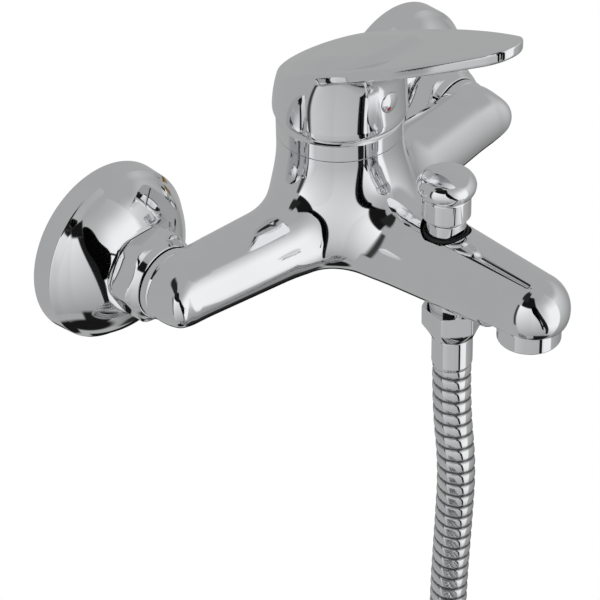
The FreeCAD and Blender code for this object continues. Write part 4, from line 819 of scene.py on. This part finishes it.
casting = finished("body_casting_polished", hollowed(casting, bores), ["body_casting"],
                   polished_chrome, crease=50)
shaded_by(body_surface, casting)

# Cartridge
# A 35 mm ceramic cartridge: white acetal shell and base, lapped ceramic discs, a grey nylon stem
# on a steel pin, rubber port seals, and the brass ring that clamps it down in the barrel.

# Natural acetal: milky, waxy and faintly uneven from the mould.
white_acetal = mottled(new_material("moulded_white_acetal"), 3, 2.0,
                       ("#DCDDD8", "#EAEAE5"), (0.38, 0.52))
# Nylon with glass fibre: a dull grey with short pale flecks.
grey_nylon = mottled(new_material("glass_filled_grey_nylon"), 0.7, 4.0,
                     ("#4A4C4F", "#63656A"), (0.45, 0.7))
# Sintered alumina, lapped flat: ivory, hard and almost polished.
lapped_ceramic = mottled(new_material("lapped_alumina_ceramic"), 0.5, 3.0,
                         ("#EDE8DA", "#F5F1E6"), (0.12, 0.25))
# Nitrile rubber: near black, with a fine matt bloom.
black_rubber = mottled(new_material("moulded_nitrile_rubber"), 1.2, 3.0,
                       ("#141415", "#242425"), (0.5, 0.75))
# Stainless wire and pin, drawn bright: a cool grey, finely uneven.
drawn_steel = mottled(new_material("drawn_stainless_steel"), 0.6, 2.0,
                      ("#B4B6B8", "#CFD1D2"), (0.18, 0.32), 1.0)

for material, names in (
        (white_acetal, ("cartridge_base", "cartridge_housing", "stem_carrier", "aerator_insert")),
        (grey_nylon, ("cartridge_stem",)), (lapped_ceramic, ("fixed_disc", "moving_disc")),
        (machined_brass, ("cartridge_nut", "diverter_spindle")),
        (drawn_steel, ("stem_pin", "lever_set_screw", "diverter_spring")),
        (black_rubber, ("port_seals", "diverter_seal", "aerator_washer", "hose_washer",
                        "hose_tie", "hose_end_washer")),
        (polished_chrome, ("hose_end_ferrule", "hose_end_nut"))):
    for name in names:
        nodes[name].data.materials.clear()
        nodes[name].data.materials.append(material)

# Dome ring
# A spun and chromed brass ring that screws over the cartridge's thread and hides it. Its top is
# part of a sphere about the lever's pivot.
ring_outline = (rounded([(20.06, 32.5), (22.5, 32.55, 0.35), (22.5, 38.6, 0.25), (22.3, 38.8)])
                + bow((22.2, 38.87), (16.3, 44.9), 27.3, 12)
                + bow((16.3, 43.2), (20.06, 39.3), -25.8, 6))
turned_piece("dome_ring_spun", ring_outline, (0, -reach, 0), "up", 192, "dome_ring")

# Lever
# A zinc die casting, chromed: a bell over the dome, leaning forward under a long oval plate that
# rises to its tip. A set screw behind the index plug clamps it on the stem.
tilt, plate_level, plate_thick = math.radians(23.6), 62.8, 4.2
plate_half, plate_widest, side_r, back_y, tip_y = 20.8, 52.0, 178.0, 42.5, 113.2
bell_bottom, bell_widest, bell_r, bell_taper, bell_lean = 40.3, 43.8, 23.9, 0.0625, 0.0035
flare, flare_height = 3.6, 13


def plate_plan(x, y):
    """How far a point lies outside the plate's plan: two long arcs and a round at each end."""
    inset = side_r - plate_half
    turn = np.arctan2(y + plate_widest, x + inset)
    ends = [(centre, side_r - math.hypot(inset, plate_widest - centre),
             math.atan2(plate_widest - centre, inset)) for centre in (back_y, tip_y)]
    plan = np.hypot(x + inset, y + plate_widest) - side_r
    plan = np.where(turn > ends[0][2], np.hypot(x, y + back_y) - ends[0][1], plan)
    return np.where(turn < ends[1][2], np.hypot(x, y + tip_y) - ends[1][1], plan)


def lever_surface(spots):
    """The plate, and a bell that runs into the plate's sides and is filleted under its front."""
    x, y, z = np.abs(spots[..., 0]), spots[..., 1], spots[..., 2]
    above = (y + reach) * math.sin(tilt) + (z - plate_level) * math.cos(tilt)
    plan = plate_plan(x, y)
    plate = keep_both(plan, keep_both(above, -plate_thick - above, 0.1), 1.2)
    rising = np.maximum(z - bell_widest, 0)
    bell = np.hypot(x, y + reach + bell_lean * rising ** 2) - (bell_r - bell_taper * rising)
    wider = flare * (1 - np.clip(1 + above / flare_height, 0, 1) ** 2)
    bell = keep_both(bell, bell_bottom - z, 2.2)
    bell = keep_both(bell, keep_both(plan - wider, above, 1.2), 3.0)
    under = np.clip((-1.5 - plan) / 10, 0, 1)
    return blend(plate, bell, 0.3 + 9.0 * under * under * (3 - 2 * under))


lever = skin(lever_surface, (-26, -126, 38), (26, -18, 100), cell=0.5, passes=9)
cavity_r, pivot_z, steps = 27.9, 23, 48
cavity = [(cavity_r * math.sin(angle), pivot_z - cavity_r * math.cos(angle))
          for angle in (math.pi * k / steps for k in range(steps + 1))]
socket = [(0, 45), (5.75, 45), (5.75, 59.4), (0, 59.4)]
plug_hole = [(0, 5), (3.85, 5), (3.85, 20), (0, 20)]
screw_hole = [(0, -15), (2.6, -15), (2.6, 6), (0, 6)]
hole_y, hole_z, plug_y = 57.5, 52.6, 62.5
lever = hollowed(lever, [turned_mesh(cavity, (0, -reach, 0), "up", 160),
                         turned_mesh(socket, (0, -reach, 0), "up", 48),
                         turned_mesh(plug_hole, (0, -hole_y, hole_z), "front", 64),
                         turned_mesh(screw_hole, (0, -hole_y, hole_z), "front", 48)])
lever = finished("lever_cast", lever, ["lever_handle"], polished_chrome, "lever", crease=50)
shaded_by(lever_surface, lever)

# Index plug
# A small turned and chromed plug, pressed into the bell over the set screw, with a spot of red
# enamel below its middle for the hot side.
index_chrome, tree, shader, place = new_material("chrome_with_red_enamel_spot")
# The same bright chromium, and a fleck of red stoving enamel, glossy and slightly proud.
shader.inputs["Roughness"].default_value = 0.06
spot_at, spot_r, spot_edge = (-1.2, -68.4, 50.9), 0.75, 0.95
middle = [value * MM for value in spot_at]
from_spot = add_node(tree, "ShaderNodeVectorMath", {0: place, 1: middle},
                     operation="SUBTRACT").outputs[0]
from_spot = add_node(tree, "ShaderNodeVectorMath", {0: from_spot}, operation="LENGTH").outputs[1]
enamel = add_node(tree, "ShaderNodeMapRange", {
    0: from_spot, 1: spot_r * MM, 2: spot_edge * MM, 3: 1.0, 4: 0.0}).outputs[0]
tree.links.new(tint(tree, enamel, "#ECEDEF", "#B3202A"), shader.inputs["Base Color"])
tree.links.new(calc(tree, "SUBTRACT", 1.0, enamel), shader.inputs["Metallic"])
plug_outline = [(0, 0), (3.75, 0)] + bow((3.75, 5.3), (0, 6.2), 8.26, 10)
turned_piece("index_plug_turned", plug_outline, (0, -plug_y, hole_z), "front", 96, "index_plug",
             material=index_chrome, body="lever")

# Diverter
# A pull-up knob, turned from brass and chromed, on a brass bonnet screwed into the spout over a
# rubber ring. Pulling it up sends the water to the shower hose.
bonnet = rounded([(5.4, 4.3), (7.2, 4.3), (7.2, 11.3), (7.0, 11.3), (7.0, 17.4, 0.4), (6, 17.4),
                  (6, 23, 0.3), (2.55, 23), (2.55, 14), (5.4, 14)])
turned_piece("diverter_bonnet_turned", bonnet, (0, -diverter_y, 0), "up", 96, "diverter_bonnet")
half_wide, half_tall, steps = 0.5, 0.75, 20
o_ring = [(7.6 + half_wide * math.cos(angle), 12.05 + half_tall * math.sin(angle))
          for angle in (2 * math.pi * k / steps for k in range(steps))]
turned_piece("diverter_o_ring_moulded", o_ring, (0, -diverter_y, 0), "up", 96, "diverter_o_ring",
             material=black_rubber, slot="black_rubber")
knob = (rounded([(2.5, 25.5), (6.3, 25.5), (6.3, 18.2), (7.6, 18.2, 0.2), (8.6, 19.2, 0.4),
                 (8.6, 27.3, 0.5)])
        + bow((9.0, 27.6), (10.4, 31.2), 5.2, 8) + bow((10.4, 31.2), (8.4, 34.5), 5.2, 8)
        + bow((8.0, 34.75), (0, 36.2), 22.8, 8) + [(0, 32), (2.5, 32)])
turned_piece("diverter_knob_turned", knob, (0, -diverter_y, 0), "up", 128, "diverter_knob",
             body="diverter")

# Aerator
# A chromed brass ring screwed into the neck of the spout, holding a white plastic insert that
# breaks the water into 19 jets.
aerator = rounded([(8, 2.5), (8, 14, 0.4), (11.1, 14, 0.5), (11.1, 7, 0.3), (9.2, 7), (9.2, 2.5)])
turned_piece("aerator_ring_turned", aerator, (0, -aerator_y, 0), "down", 128, "aerator_housing")

# Shower outlet, hose nut and ferrule
# The nipple is screwed into the underside of the spout. The swivel nut, about 19 mm across
# flats, pulls the ferrule that is pressed onto the end of the hose up against its washer.
nipple = rounded([(5, 9.2), (7, 9.2), (7, 14), (8.33, 14), (8.33, 25.3, 0.4), (5, 25.3)])
turned_piece("outlet_nipple_turned", nipple, (0, -outlet_y, 0), "down", 96, "outlet_nipple")
hose_nut = rounded([(6.16, -29.7), (7.7, -29.7, 0.6), (11.14, -24.5, 1.5), (11.14, -17.3, 0.5),
                    (8.39, -17.3), (8.39, -27.7), (6.16, -27.7)])
turned_piece("hose_nut_hex", hose_nut, (0, -outlet_y, 0), "up", 360, "hose_nut",
             flats(19.3, -10), crease=60)
ferrule = rounded([(4.6, -43.5), (6.6, -43.5, 0.3), (7.3, -41.4, 1.0), (7.3, -30, 0.3), (6.1, -30),
                   (6.1, -27.7), (8.1, -27.7), (8.1, -26.7), (4.6, -26.7)])
turned_piece("hose_ferrule_turned", ferrule, (0, -outlet_y, 0), "up", 96, "hose_ferrule")
